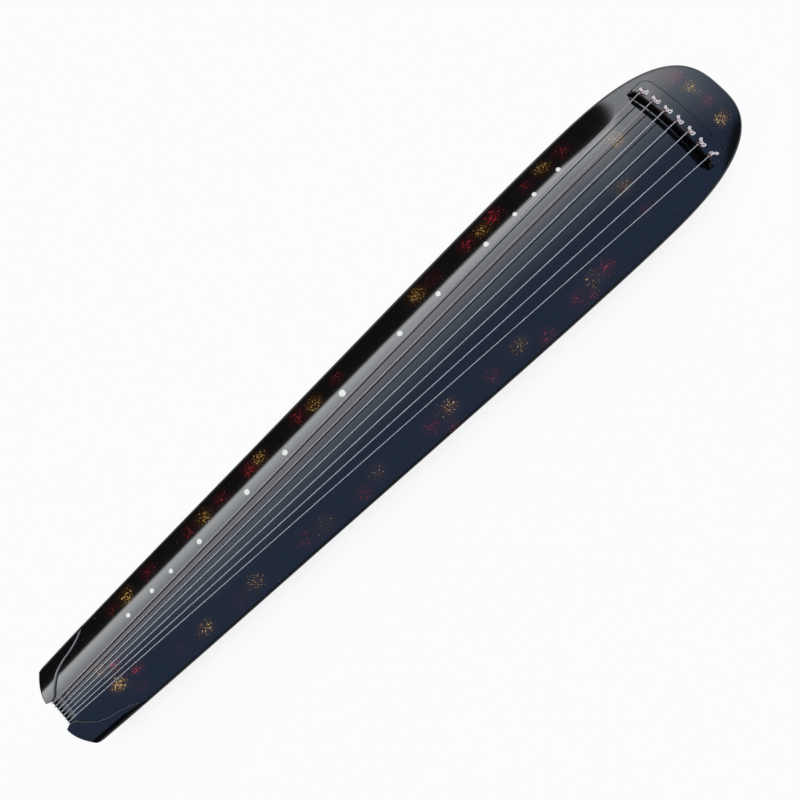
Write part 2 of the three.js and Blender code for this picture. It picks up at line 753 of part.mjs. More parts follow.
function bottomBoard() {
  const rings = [
    planRing(underZ, undersideRound), planRing(underZ + undersideRound * 0.3, undersideRound * 0.3),
    planRing(underZ + undersideRound, 0), planRing(jointZ, 0),
  ];
  const [lowZ, highZ] = [underZ - overrun, jointZ + overrun];
  return cutAll(loft(rings), [
    tailCutter(), ...tailCuts(false), ...footHoles(lowZ, highZ),
    prism(holePlan(longHoleX, longHoleLength, longHoleWidth, 0), lowZ, highZ),
    prism(holePlan(shortHoleX, shortHoleLength, shortHoleWidth, 0), lowZ, highZ),
    prism(poolPlan(0), lowZ, highZ),
  ]);
}

function footBlock() {
  const width = (halfWidth(footX - footBlockLength / 2) - sideWall - footBlockFromWall) * 2;
  const solid = block(footX, 0, footBlockLength, width, jointZ, jointZ + footBlockHeight);
  return cutAll(solid, footHoles(jointZ - overrun, jointZ + footBlockHeight + overrun));
}

// A foot: square tenon, collar, round neck for the strings, and a spreading base
function foot() {
  const radii = [footCollarRadius, footCollarRadius, footNeckRadius, footNeckRadius,
    footBaseRadius * 0.75, footBaseRadius * 0.94, footBaseRadius, footBaseRadius * 0.95];
  const profile = footDepthShares.map((share, i) => new THREE.Vector2(radii[i], -share * underZ));
  const turned = new THREE.LatheGeometry(
    [new THREE.Vector2(0, 0), ...profile, new THREE.Vector2(0, -underZ)], 16);
  turned.rotateX(Math.PI / 2);
  const tenon = block(0, 0, footTenonWidth, footTenonWidth, -overrun, footTenonHeight);
  return geometryOf(solidOf(turned).add(solidOf(tenon)));
}

// A peg: an eight-sided turned block with a bore for its cord and a cross hole at the waist
const pegTopZ = jointZ - gap;
function peg() {
  const radii = [pegHeadRadius * 0.94, pegHeadRadius, pegHeadRadius * 0.9, pegWaistRadius, pegWaistRadius,
    pegBellyRadius * 0.86, pegBellyRadius, pegBellyRadius * 0.72, pegTipRadius, pegTipRadius * 0.6];
  const profile = pegDepthShares.map((share, i) => new THREE.Vector2(radii[i], -share * pegLength));
  const turned = new THREE.LatheGeometry(
    [new THREE.Vector2(0, 0), ...profile, new THREE.Vector2(0, -pegLength)], pegFacets);
  turned.rotateX(Math.PI / 2);
  const bore = upright(0, 0, pegBoreWidth / 2, -pegBoreDepth, overrun, pegFacets);
  const cross = new THREE.CylinderGeometry(pegCrossWidth / 2, pegCrossWidth / 2, pegHeadRadius, pegFacets);
  cross.rotateZ(Math.PI / 2);
  cross.translate(pegHeadRadius / 2, 0, -pegCrossDepth);
  return cutAll(closed(turned), [bore, cross]);
}

// A peg guard: a block with a drawn-in waist, standing on the table
function guard(side) {
  const [top, low, waist] = [guardLength / 2, guardFootLength / 2, guardLength / 2 - guardWaist];
  const shape = new THREE.Shape();
  shape.moveTo(-top, 0);
  shape.quadraticCurveTo(-waist, -underZ / 6, -waist, -underZ / 2);
  shape.quadraticCurveTo(-waist, -underZ * 0.75, -low, -underZ);
  shape.lineTo(low, -underZ);
  shape.quadraticCurveTo(waist, -underZ * 0.75, waist, -underZ / 2);
  shape.quadraticCurveTo(waist, -underZ / 6, top, 0);
  const geometry = new THREE.ExtrudeGeometry(shape, { depth: guardThickness, bevelEnabled: false, curveSegments: 5 });
  geometry.rotateX(Math.PI / 2);
  const middle = poolWidth / 2 + guardFromPool + guardThickness / 2;
  geometry.translate(0, guardThickness / 2 + side * middle, 0);
  return closed(geometry);
}

// A tube of changing radius through points, its section carried along without twist
function tube(points, radii, sides) {
  const last = points.length - 1;
  const runAt = (i) => points[Math.min(i + 1, last)].clone().sub(points[Math.max(i - 1, 0)]).normalize();
  let across = new THREE.Vector3(0, 1, 0);
  if (Math.abs(across.dot(runAt(0))) > 0.9) across = new THREE.Vector3(1, 0, 0);
  const rings = points.map((centre, i) => {
    const run = runAt(i);
    across = across.clone().addScaledVector(run, -across.dot(run)).normalize();
    const up = run.clone().cross(across);
    return Array.from({ length: sides }, (_, k) => {
      const angle = (k + 0.5) * 2 * Math.PI / sides;
      return centre.clone().addScaledVector(across, radii[i] * Math.cos(angle))
        .addScaledVector(up, radii[i] * Math.sin(angle));
    });
  });
  return loft(rings);
}

// The least gap of a tube to itself, between points further apart along it than they are thick
function leastGap(points, radii) {
  const along = [0];
  for (let i = 1; i < points.length; i += 1) along.push(along[i - 1] + points[i].distanceTo(points[i - 1]));
  let least = Infinity;
  for (let i = 0; i < points.length; i += 1) {
    for (let j = i + 1; j < points.length; j += 1) {
      const thick = radii[i] + radii[j];
      if (along[j] - along[i] > thick * 2.5) least = Math.min(least, points[i].distanceTo(points[j]) - thick);
    }
  }
  return least;
}

const smoothPath = (points, steps) => new THREE.CatmullRomCurve3(points, false, "centripetal").getPoints(steps);

// A fly-head knot: one figure of eight, from its tucked end round both lobes to its middle
function knotPath(i) {
  const x = bridgeX + bridgeTop + knotBehindTop + knotSetBacks[i];
  const z = archZ(bridgeX, bridgeY(i)) + bridgeHeight - knotBelowTop + knotLifts[i];
  const middle = new THREE.Vector3(x, bridgeY(i), z);
  const turn = THREE.MathUtils.degToRad(knotTurns[i]);
  const tilt = THREE.MathUtils.degToRad(knotTilts[i]);
  const long = new THREE.Vector3(-Math.sin(turn), Math.cos(turn), 0);
  const flat = new THREE.Vector3(-Math.cos(turn), -Math.sin(turn), 0);
  const up = new THREE.Vector3(0, 0, 1);
  const across = flat.clone().multiplyScalar(Math.cos(tilt)).addScaledVector(up, Math.sin(tilt));
  const normal = up.clone().multiplyScalar(Math.cos(tilt)).addScaledVector(flat, -Math.sin(tilt));
  const [reachLong, reachAcross] = [(knotWidth - knotWireWidth) / 2, (knotDepth - knotWireWidth) / 2];
  const lift = (knotWireWidth + wireGap) / 2;
  const start = 0.85;
  return Array.from({ length: knotSteps + 1 }, (_, k) => {
    const angle = start + (2 * Math.PI - start) * k / knotSteps;
    return middle.clone().addScaledVector(long, reachLong * Math.sin(angle))
      .addScaledVector(across, reachAcross * Math.sin(2 * angle))
      .addScaledVector(normal, lift * Math.cos(angle));
  });
}

// The string's way: knot, bridge, nut, round the tail end, saddle, and round the foot
const footSide = (i) => (i < farFootStrings ? 1 : -1);
const stringRadius = (i) => stringWidths[i] / 2;
const windingRise = (i) => stringWidths[i] + windingGap;

function windingTop(i) {
  let z = underZ - windingFromBoard;
  for (let k = footSide(i) > 0 ? 0 : farFootStrings; k < i; k += 1) z -= windingRise(k) * Math.ceil(windingTurns);
  return z;
}

function arcAcross(x, z, y, radius, from, to, steps) {
  return arcPoints(x, z, radius, from, to, steps).map((p) => new THREE.Vector3(p.x, y, p.y));
}

function windingPath(i, from) {
  const side = footSide(i);
  const centre = new THREE.Vector3(footX, side * footSpacing / 2, windingTop(i));
  const reach = (footNeckRadius + gap + stringRadius(i)) / Math.cos(Math.PI / windingSteps);
  const lead = Math.atan2(footSpacing / 2 - reach - side * from.y, footX - from.x);
  const steps = Math.round(windingTurns * windingSteps);
  const path = Array.from({ length: steps + 1 }, (_, k) => {
    const angle = lead + 2 * Math.PI * windingTurns * k / steps;
    const drop = windingRise(i) * windingTurns * k / steps;
    return new THREE.Vector3(reach * Math.sin(angle), -side * reach * Math.cos(angle), -drop).add(centre);
  });
  const end = lead + 2 * Math.PI * windingTurns;
  const onward = new THREE.Vector3(Math.cos(end), side * Math.sin(end), 0).multiplyScalar(stringWidths[i]);
  return [...path, path[steps].clone().add(onward)];
}

function stringPath(i) {
  const r = stringRadius(i);
  const topZ0 = archZ(bridgeX, bridgeY(i)) + bridgeHeight + gap + r;
  const knot = knotPath(i);
  const overBridge = (x, drop) => new THREE.Vector3(bridgeX + x, bridgeY(i), topZ0 - drop);
  const rise = [knot[knotSteps - 1], knot[knotSteps], overBridge(bridgeTop + knotBehindTop / 3, knotBelowTop * 0.6),
    overBridge(bridgeTop + knotBehindTop / 6, knotBelowTop / 4), overBridge(bridgeTop - bridgeTopRound, 0)];
  const neck = [...smoothPath(rise, neckSteps).slice(Math.ceil(neckSteps / 4) + 1), overBridge(0, 0)];
  const [y, half] = [tailY(i), Math.PI / 2];
  const outside = gap + r;
  const overNut = [
    new THREE.Vector3(nutX, y, nutTopZ + outside),
    ...arcAcross(notchX + nutRound, nutEndZ - nutRound, y, nutRound + outside, half, half * 2, 3),
  ];
  const underSaddle = arcAcross(
    notchX + saddleRound, saddleLowZ + saddleRound, y, saddleRound + outside, half * 2, half * 3, 3);
  const winding = windingPath(i, underSaddle[underSaddle.length - 1]);
  const points = [...knot, ...neck, ...overNut, ...underSaddle, ...winding];
  const radii = points.map((_, k) => {
    const share = THREE.MathUtils.clamp((k - knotSteps) / 3, 0, 1);
    return THREE.MathUtils.lerp(knotWireWidth / 2, r, share);
  });
  return { points, radii };
}

// Peg cords: up out of the peg, round the string's neck in front of the knot, and back into the hole.
// Places are measured from the top of the hole, with X away from the bridge. Near the knot the heights
// are measured from the bridge's foot instead.
const cordRoute = [
  [0, 0, -2], [0, -1.1, 0], [-1.1, -1.4, 1.9], [-6, -1.8, 2.9], [-10.3, -2, 5.8], [-11.3, -2.4, 10.8],
  [-11.2, 0, 15.1], [-11.3, 2.4, 10.8], [-10.3, 2, 5.8], [-6, 1.8, 2.9], [-1.1, 1.4, 1.9], [0, 1.1, 0],
  [0, 1.2, -3],
];

function pegCord(i) {
  const y = bridgeY(i);
  const topAt = archZ(cordHoleX, y);
  const low = new THREE.Vector3(cordHoleX, y, pegTopZ - pegCrossDepth + cordWidth + gap);
  const bend = new THREE.Vector3(cordHoleX, y, (low.z + topAt) / 2);
  const knotAt = archZ(bridgeX, y) - cordBelowBridge;
  const route = cordRoute.map(([x, across, up]) => {
    const base = THREE.MathUtils.lerp(topAt, knotAt, Math.min(Math.max(-x, 0) / cordRise, 1));
    return new THREE.Vector3(cordHoleX + x, y + across, base + up);
  });
  const points = smoothPath([low, bend, ...route], cordSteps);
  return tube(points, points.map(() => cordWidth / 2), cordSides);
}

// The lower end of a peg cord, out of the cross hole and round the waist of the peg
function pegTie() {
  const reach = (pegWaistRadius + gap + cordWidth / 2) / Math.cos(Math.PI / tieSteps);
  const rise = cordWidth + windingGap;
  const steps = Math.round(tieTurns * tieSteps);
  const out = [pegBoreWidth / 2 + gap, pegWaistRadius + gap].map((x) => new THREE.Vector3(x, 0, 0));
  const turns = Array.from({ length: steps + 1 }, (_, k) => {
    const angle = (0.5 + k) * 2 * Math.PI / tieSteps;
    return new THREE.Vector3(reach * Math.cos(angle), reach * Math.sin(angle), -rise * k / tieSteps);
  });
  const last = turns[steps];
  const onward = new THREE.Vector3(-last.y, last.x, 0).normalize().multiplyScalar(cordWidth);
  const points = [...out, ...turns, last.clone().add(onward)];
  const radii = points.map(() => cordWidth / 2);
  return { points, radii };
}

// Putting it together
add("top_board", topBoard(), blackLacquer());
add("bottom_board", bottomBoard(), blackLacquer());
posts.forEach((post) => {
  const turned = post.facets === 4
    ? block(post.x, 0, post.width, post.width, jointZ, post.topZ)
    : closed(upright(post.x, 0, post.width / 2, jointZ, post.topZ, post.facets));
  add(post.name, turned, bareWood());
});
add("foot_block", footBlock(), bareWood());
add("bridge", bridge(), blackHardwood());
add("head_inlay", headInlay(), blackHardwood());
add("tail_nut", tailNut(), blackHardwood());
add("tail_saddle", tailSaddle(), blackHardwood());
add("peg_board", pegBoard(), blackHardwood());

[["far", 1], ["near", -1]].forEach(([word, side]) => {
  add(`tail_cap_${word}`, tailCap(side), blackHardwood());
  add(`foot_${word}`, foot(), blackHardwood()).position.set(footX, side * footSpacing / 2, underZ);
  add(`peg_guard_${word}`, guard(side), blackHardwood()).position.set(cordHoleX - guardBack, 0, underZ);
});

huiPlaces.forEach((hui, i) => {
  const mesh = add(`hui_${i + 1}`, closed(disc(hui.radius, -huiThickness, huiRise)), shell());
  mesh.position.set(hui.x, hui.y, hui.z);
  mesh.rotation.x = -hui.tilt;
});

for (let i = 0; i < stringCount; i += 1) {
  const { points, radii } = stringPath(i);
  console.log(`string_${i + 1}: least gap to itself ${leastGap(points, radii).toFixed(2)} mm`);
  add(`string_${i + 1}`, tube(points, radii, stringSides), stringSilk());
  add(`peg_cord_${i + 1}`, pegCord(i), redCord());
  add(`tuning_peg_${i + 1}`, peg(), pegWood()).position.set(cordHoleX, bridgeY(i), pegTopZ);
  const tie = pegTie();
  if (i === 0) console.log(`peg_cord_tie: least gap to itself ${leastGap(tie.points, tie.radii).toFixed(2)} mm`);
  const tied = add(`peg_cord_tie_${i + 1}`, tube(tie.points, tie.radii, cordSides), redCord());
  tied.position.set(cordHoleX, bridgeY(i), pegTopZ - pegCrossDepth);
}

export default group;
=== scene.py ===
import math

import bmesh
import bpy
import numpy as np
from mathutils import Matrix


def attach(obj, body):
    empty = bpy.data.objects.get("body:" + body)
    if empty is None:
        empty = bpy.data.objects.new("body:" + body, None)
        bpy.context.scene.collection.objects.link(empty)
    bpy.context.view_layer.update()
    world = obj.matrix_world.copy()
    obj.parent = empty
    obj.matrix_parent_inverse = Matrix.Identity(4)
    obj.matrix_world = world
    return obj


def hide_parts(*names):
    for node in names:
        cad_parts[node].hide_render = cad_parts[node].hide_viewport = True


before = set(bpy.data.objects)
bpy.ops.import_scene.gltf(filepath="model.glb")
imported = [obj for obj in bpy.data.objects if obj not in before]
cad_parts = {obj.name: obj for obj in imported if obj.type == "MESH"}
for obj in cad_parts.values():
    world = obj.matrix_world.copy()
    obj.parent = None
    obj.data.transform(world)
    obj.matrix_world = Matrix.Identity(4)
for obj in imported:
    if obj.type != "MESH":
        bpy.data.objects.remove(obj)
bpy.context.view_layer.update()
print("frame loaded:", len(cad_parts), "pieces")

mm = 0.001
turn = 2 * math.pi
sharpEdge = math.radians(38)
# Distance between doubled rows of points, and the smallest radius at the ends of turned pieces
close = 0.02 * mm
tipRadius = 0.3 * mm

# The instrument's body, as the frame has it; lengths in millimetres become metres through mm
body = {
    "length": 1230 * mm, "width": 203 * mm, "tailWidth": 129 * mm, "headLength": 211 * mm,
    "headPower": 2.8, "headFall": 5, "cornerBack": 15.6 * mm, "cornerRound": 5 * mm,
    "cornerLong": 1.5, "cornerPower": 1.6,
    "tipWidth": 44.4 * mm, "notchWidth": 37.2 * mm, "notchDepth": 8.7 * mm, "notchInset": 1.3 * mm,
    "endInset": 0.1 * mm, "endRound": 1.6 * mm, "stand": 30 * mm, "joint": 40 * mm,
    "edgeHeight": 59.5 * mm, "edgeRound": 5 * mm, "lean": 3 * mm, "bridgeFromHead": 99.5 * mm,
    "nutFromTail": 25.1 * mm,
    "taper": [(-0.13, 0.939), (0, 1), (0.13, 0.939), (0.27, 0.813), (0.53, 0.54), (0.8, 0.26),
              (0.93, 0.105), (1, 0), (1.1, -0.15)],
}
tailX, headX = -body["length"] / 2, body["length"] / 2
widestX = headX - body["headLength"]
cornerX = tailX + body["cornerBack"]
bridgeX = headX - body["bridgeFromHead"]
nutX = tailX + body["nutFromTail"]
notchX = tailX + body["notchDepth"]
crown = [(0, 69.5 * mm), (0.785, 83.5 * mm), ((bridgeX - tailX) / body["length"], 80 * mm), (1, 75 * mm)]


# Cubic over t from 0 to 1 with a given value and slope at both ends
def cubic(t, first, firstSlope, last, lastSlope):
    return (first * (2 * t**3 - 3 * t**2 + 1) + firstSlope * (t**3 - 2 * t**2 + t)
            + last * (3 * t**2 - 2 * t**3) + lastSlope * (t**3 - t**2))


# Smooth curve through (place, value) pairs: cubics whose slope at each pair is that of its neighbours,
# and straight lines beyond the ends
def smoothTable(table, place):
    keys, values = np.array(table, dtype=float).T
    low = np.maximum(np.arange(len(keys)) - 1, 0)
    high = np.minimum(np.arange(len(keys)) + 1, len(keys) - 1)
    slopes = (values[high] - values[low]) / (keys[high] - keys[low])
    place = np.asarray(place, dtype=float)
    at = np.clip(np.searchsorted(keys, place, side="right") - 1, 0, len(keys) - 2)
    width = keys[at + 1] - keys[at]
    t = np.clip((place - keys[at]) / width, 0, 1)
    inside = cubic(t, values[at], slopes[at] * width, values[at + 1], slopes[at + 1] * width)
    return inside + np.minimum(place - keys[0], 0) * slopes[0] + np.maximum(place - keys[-1], 0) * slopes[-1]


# Half width: the taper table between tail corner and widest place, then a superellipse round the head
def taperHalf(x):
    share = smoothTable(body["taper"], (widestX - x) / (widestX - cornerX))
    return (body["tailWidth"] + (body["width"] - body["tailWidth"]) * share) / 2


def halfWidth(x):
    x = np.asarray(x, dtype=float)
    along = np.clip((x - widestX) / body["headLength"], 0, 1)
    head = body["width"] / 2 * (1 - along ** body["headPower"]) ** (1 / body["headPower"])
    return np.where(x > widestX, head, taperHalf(x))


# Height of the ridge: the smooth table of crown heights over the share of the length
def crownHeight(x):
    return smoothTable(crown, (np.asarray(x) - tailX) / body["length"])


# Height of the arch: the ridge height less the rise to it times a fall. The fall is the square of the
# share of the half width; on the head the rest of it comes in as a power of the share of the way to the rim
def archHeight(x, y):
    x, y, p = np.asarray(x, dtype=float), np.asarray(y, dtype=float), body["headPower"]
    onHead = x > widestX
    across = np.abs(y) / np.where(onHead, body["width"] / 2, taperHalf(x))
    reach = (1 - np.minimum(across, 0.9999) ** p) ** (1 / p)
    along = np.clip((x - widestX) / body["headLength"] / reach, 0, 1) ** body["headFall"]
    fall = np.where(onHead, np.minimum(across, 1) ** 2 * (1 - along) + along, across**2)
    return crownHeight(x) - (crownHeight(x) - body["edgeHeight"]) * fall


# Distance in from the side edge: straight across on the taper, and on the head one less the superellipse
# value, over the length of its gradient
def rimDistance(x, y):
    p = body["headPower"]
    along = np.maximum((x - widestX) / body["headLength"], 0)
    across = np.abs(y) / (body["width"] / 2)
    value = np.maximum((along**p + across**p) ** (1 / p), 1e-6)
    slopeX = along ** (p - 1) * value ** (1 - p) / body["headLength"]
    slopeY = across ** (p - 1) * value ** (1 - p) / (body["width"] / 2)
    onHead = (1 - value) / np.maximum(np.hypot(slopeX, slopeY), 1e-6)
    return np.where(x > widestX, onHead, halfWidth(x) - np.abs(y))


# Where the tail ends, for each distance from the middle: slanted notch side, bulged end, rounded corner
def tailEndAt(y):
    y = np.abs(y)
    tip, notch, corner = body["tipWidth"] / 2, body["notchWidth"] / 2, halfWidth(cornerX)
    r = body["cornerRound"]
    ty = np.clip((y - tip) / (corner - r - tip), 0, 1)
    bulged = tailX + (cornerX - r / 2 - tailX) * ty**2
    tc = np.clip((y - corner + r) / r, 0, 1)
    rounded = cornerX - r / 2 + r * body["cornerLong"] * (1 - np.sqrt(1 - tc ** body["cornerPower"]))
    slanted = notchX + (tailX - notchX) * np.clip((y - notch) / (tip - notch), 0, 1)
    return np.where(y < tip, slanted, np.where(y < corner - r, bulged, rounded))


# The boards end a little further in, most where the nut and the saddle cover them
def tailEnd(y):
    return tailEndAt(y) + np.where(np.abs(y) < body["notchWidth"] / 2, body["notchInset"], body["endInset"])


# Drop of a rounded edge: a quarter circle, all of its radius at the edge and nothing from there inwards
def edgeDrop(inward, r):
    return r - np.sqrt(r**2 - (r - np.clip(inward, 0, r)) ** 2)


# Top surface: the arch less its rounded edges along the sides and at the tail end
def topHeight(x, y):
    return (archHeight(x, y) - edgeDrop(rimDistance(x, y), body["edgeRound"])
            - edgeDrop(x - tailEndAt(y), body["endRound"]))


# Puts points and faces into a new object at the origin, with its faces turned outwards
def newPiece(name, points, faces, smooth=True, sharp=None):
    mesh = bpy.data.meshes.new(name)
    faces = faces if isinstance(faces, list) else faces.tolist()
    mesh.from_pydata(np.asarray(points, dtype=float).reshape(-1, 3).tolist(), [], faces)
    outward = bmesh.new()
    outward.from_mesh(mesh)
    bmesh.ops.recalc_face_normals(outward, faces=outward.faces)
    outward.to_mesh(mesh)
    outward.free()
    piece = bpy.data.objects.new(name, mesh)
    bpy.context.scene.collection.objects.link(piece)
    if smooth:
        mesh.shade_smooth()
    if sharp:
        mesh.set_sharp_from_angle(angle=sharp)
    return piece


# Quads between neighbouring rows and columns of a grid of point numbers; the columns can close to a loop
def gridFaces(rows, columns, loop=False):
    a, b = np.meshgrid(np.arange(rows - 1), np.arange(columns if loop else columns - 1), indexing="ij")
    b2 = (b + 1) % columns
    quads = [a * columns + b, (a + 1) * columns + b, (a + 1) * columns + b2, a * columns + b2]
    return np.stack(quads, axis=-1).reshape(-1, 4)


# Faces of a tube: quads between its rings, and one face over the whole ring at each end
def tubeFaces(rings, sides):
    last = (rings - 1) * sides
    ends = [list(range(sides)), list(range(last, last + sides))]
    return gridFaces(rings, sides, loop=True).tolist() + ends


# Closed solid between an upper and a lower grid of points with the same rows and columns
def slab(name, upper, lower):
    rows, columns = upper.shape[:2]
    around = gridFaces(rows, columns * 2, loop=True)[:, ::-1]
    k = np.arange(columns - 1)
    strip = np.stack([k, k + 1, 2 * columns - 2 - k, 2 * columns - 1 - k], -1)
    faces = np.concatenate([around, strip, (strip + (rows - 1) * columns * 2)[:, ::-1]])
    return newPiece(name, np.concatenate([upper, lower[:, ::-1]], axis=1), faces, sharp=sharpEdge), faces


def paint(piece, name, values):
    layer = piece.data.attributes.new(name, "FLOAT", "POINT")
    layer.data.foreach_set("value", np.asarray(values).ravel().astype(np.float32))


# Values for a slab's points: those of its upper grid, and nothing below
def onUpper(values):
    return np.concatenate([values, np.zeros_like(values)], axis=1)


# Share of painted edge shade: one at the edge, and gone at the given width from it over the last millimetre
def rimShare(near, width=4.2 * mm):
    return np.clip((width - near) / mm, 0, 1)


# Two finishes on one piece: the marked faces have the second
def twoFinishes(piece, first, second, marked):
    piece.data.materials.append(first)
    piece.data.materials.append(second)
    piece.data.polygons.foreach_set("material_index", marked.astype(np.int32))


# Says what a piece moves with, what it stands for and what it is made of
def settle(piece, nodes, material, rides="root"):
    if not piece.data.materials:
        piece.data.materials.append(material)
    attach(piece, rides)
    if nodes:
        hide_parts(*nodes)
    return piece


# Cuts the cutters out of a piece for good; their own meshes go once it is done
def cutBy(piece, cutters):
    for cutter in cutters:
        change = piece.modifiers.new("cut", "BOOLEAN")
        change.operation, change.solver, change.object = "DIFFERENCE", "EXACT", cutter
    mesh = bpy.data.meshes.new_from_object(piece.evaluated_get(bpy.context.evaluated_depsgraph_get()))
    piece.modifiers.clear()
    piece.data = mesh
    for cutter in cutters:
        bpy.data.objects.remove(cutter, do_unlink=True)
    mesh.set_sharp_from_angle(angle=sharpEdge)


# Rounds the edges that are sharper than an angle in degrees
def softened(piece, width, segments, angle=35):
    change = piece.modifiers.new("soft", "BEVEL")
    change.width, change.segments, change.limit_method = width, segments, "ANGLE"
    change.angle_limit = math.radians(angle)
    change.harden_normals = True
    return piece


# A CAD piece whose shape is right: its own mesh with the doubled points merged and its edges softened
def finished(node, width, material, segments=3):
    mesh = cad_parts[node].data.copy()
    merged = bmesh.new()
    merged.from_mesh(mesh)
    bmesh.ops.remove_doubles(merged, verts=merged.verts, dist=0.001 * mm)
    bmesh.ops.dissolve_limit(merged, angle_limit=math.radians(0.5), verts=merged.verts, edges=merged.edges)
    merged.to_mesh(mesh)
    merged.free()
    mesh.materials.clear()
    piece = bpy.data.objects.new(node + "_finished", mesh)
    bpy.context.scene.collection.objects.link(piece)
    mesh.shade_smooth()
    mesh.set_sharp_from_angle(angle=math.radians(30))
    return settle(softened(piece, width, segments), [node], material)


# Surface of turning: radii and heights carried round the upright axis at (x, y), with flat ends; a radius
# can be one number for the whole turn or a row of numbers round it
def turned(name, radii, heights, x, y, sides=64):
    angle = np.arange(sides) * turn / sides
    radii = np.reshape(radii, (len(heights), -1))
    heights = np.repeat(np.asarray(heights)[:, None], sides, axis=1)
    points = np.stack([x + radii * np.cos(angle), y + radii * np.sin(angle), heights], -1)
    return newPiece(name, points, tubeFaces(len(heights), sides), sharp=sharpEdge)


# A solid between two equal outlines, used for cutting
def cutterBetween(first, second):
    return newPiece("cutter", np.concatenate([first, second]), tubeFaces(2, len(first)), False)


# Upright prism over a plan outline
def prism(outline, low, high):
    outline = np.asarray(outline)
    return cutterBetween(*[np.column_stack([outline, np.full(len(outline), z)]) for z in (low, high)])


# Plan of a rounded rectangle: a quarter circle at each corner
def roundedPlan(x, y, lengthX, lengthY, radius, steps=12):
    angle = np.concatenate([np.linspace(q, q + 1, steps) * turn / 4 for q in range(4)])
    signX = np.repeat([1, -1, -1, 1], steps)
    signY = np.repeat([1, 1, -1, -1], steps)
    return np.column_stack([x + signX * (lengthX / 2 - radius) + radius * np.cos(angle),
                            y + signY * (lengthY / 2 - radius) + radius * np.sin(angle)])


# Direction of a path at each of its points, one long
def directions(path):
    run = np.gradient(path, axis=0)
    return run / np.linalg.norm(run, axis=1)[:, None]


# Points and faces of a tube round a path: circles across the path, carried along it without twist; the ends
# are closed by three smaller circles on a half sphere
def sweep(path, radii, sides, start):
    path, radii = np.asarray(path, dtype=float), np.broadcast_to(radii, len(path)).astype(float)
    ahead = [(path[1] - path[0]), (path[-1] - path[-2])]
    ahead = [a / np.linalg.norm(a) for a in ahead]
    reach = np.array([0.35, 0.7, 0.95])
    shrink = np.sqrt(1 - reach**2)
    path = np.concatenate([path[0] - ahead[0] * radii[0] * reach[::-1, None], path,
                           path[-1] + ahead[1] * radii[-1] * reach[:, None]])
    radii = np.concatenate([radii[0] * shrink[::-1], radii, radii[-1] * shrink])
    run = directions(path)
    side = np.array([0.0, 1.0, 0.0]) if abs(run[0][1]) < 0.9 else np.array([1.0, 0.0, 0.0])
    sidewise = []
    for direction in run:
        side = side - direction * side.dot(direction)
        side = side / np.linalg.norm(side)
        sidewise.append(side)
    sidewise = np.array(sidewise)
    up = np.cross(run, sidewise)
    angle = np.arange(sides)[:, None] * turn / sides
    circle = sidewise[:, None] * np.cos(angle) + up[:, None] * np.sin(angle)
    points = path[:, None] + radii[:, None, None] * circle
    faces = [[start + k for k in face] for face in tubeFaces(len(path), sides)]
    return points.reshape(-1, 3), faces


# One piece of several tubes, each a path with its radii
def tubes(name, parts, sides):
    points, faces, start = [], [], 0
    for path, radii in parts:
        p, f = sweep(path, radii, sides, start)
        points.append(p)
        faces += f
        start += len(p)
    return newPiece(name, np.concatenate(points), faces)


# Centripetal curve through points, at evenly spaced places between their numbers
def smoothPath(points, steps):
    p = np.asarray(points, dtype=float)
    p = np.concatenate([[2 * p[0] - p[1]], p, [2 * p[-1] - p[-2]]])
    place = np.linspace(0, len(points) - 1, steps + 1)
    i = np.minimum(place.astype(int), len(points) - 2)
    a, b, c, d = p[i], p[i + 1], p[i + 2], p[i + 3]
    ab, bc, cd = [np.linalg.norm(v - u, axis=1)[:, None] ** 0.5 for u, v in ((a, b), (b, c), (c, d))]
    startSlope = ((b - a) / ab - (c - a) / (ab + bc) + (c - b) / bc) * bc
    endSlope = ((c - b) / bc - (d - b) / (bc + cd) + (d - c) / cd) * bc
    return cubic((place - i)[:, None], b, startSlope, c, endSlope)


# sRGB hex to the linear colour that nodes take
def colour(hexCode):
    parts = [int(hexCode[i:i + 2], 16) / 255 for i in (1, 3, 5)]
    return [c / 12.92 if c <= 0.04045 else ((c + 0.055) / 1.055) ** 2.4 for c in parts] + [1.0]


# Adds a shader node with its settings and gives its outputs. An input is a value or another node's output,
# under its name or, where a node has the same name twice, under its number
def addNode(tree, kind, settings=None, **inputs):
    node = tree.nodes.new("ShaderNode" + kind)
    for key, value in (settings or {}).items():
        setattr(node, key, value)
    for key, value in inputs.items():
        socket = node.inputs[int(key[1:]) if key[1:].isdigit() else key.replace("_", " ")]
        if isinstance(value, bpy.types.NodeSocket):
            tree.links.new(value, socket)
        else:
            socket.default_value = value
    return node.outputs


ofColours, smoothly = {"data_type": "RGBA"}, {"interpolation_type": "SMOOTHSTEP"}
times, timesPlus, larger = [{"operation": word} for word in ("MULTIPLY", "MULTIPLY_ADD", "MAXIMUM")]


# Gives a colour ramp its stops
def setStops(ramp, stops):
    while len(ramp.elements) < len(stops):
        ramp.elements.new(0.5)
    for element, (position, code) in zip(ramp.elements, stops):
        element.position = position
        element.color = colour(code)


# A material whose shader inputs are given under their names
def newMaterial(name, base, **values):
    material = bpy.data.materials.new(name)
    material.use_nodes = True
    inputs = shaderInputs(material)
    inputs["Base Color"].default_value = colour(base)
    for key, value in values.items():
        inputs[key.replace("_", " ")].default_value = value
    return material


def shaderInputs(material):
    return material.node_tree.nodes["Principled BSDF"].inputs


# Lays a colour over the base colour that the material has so far, where a mask is one
def overlay(material, mask, top):
    tree, base = material.node_tree, shaderInputs(material)["Base Color"]
    under = base.links[0].from_socket
    tree.links.new(addNode(tree, "Mix", ofColours, _0=mask, _6=under, _7=top)[2], base)


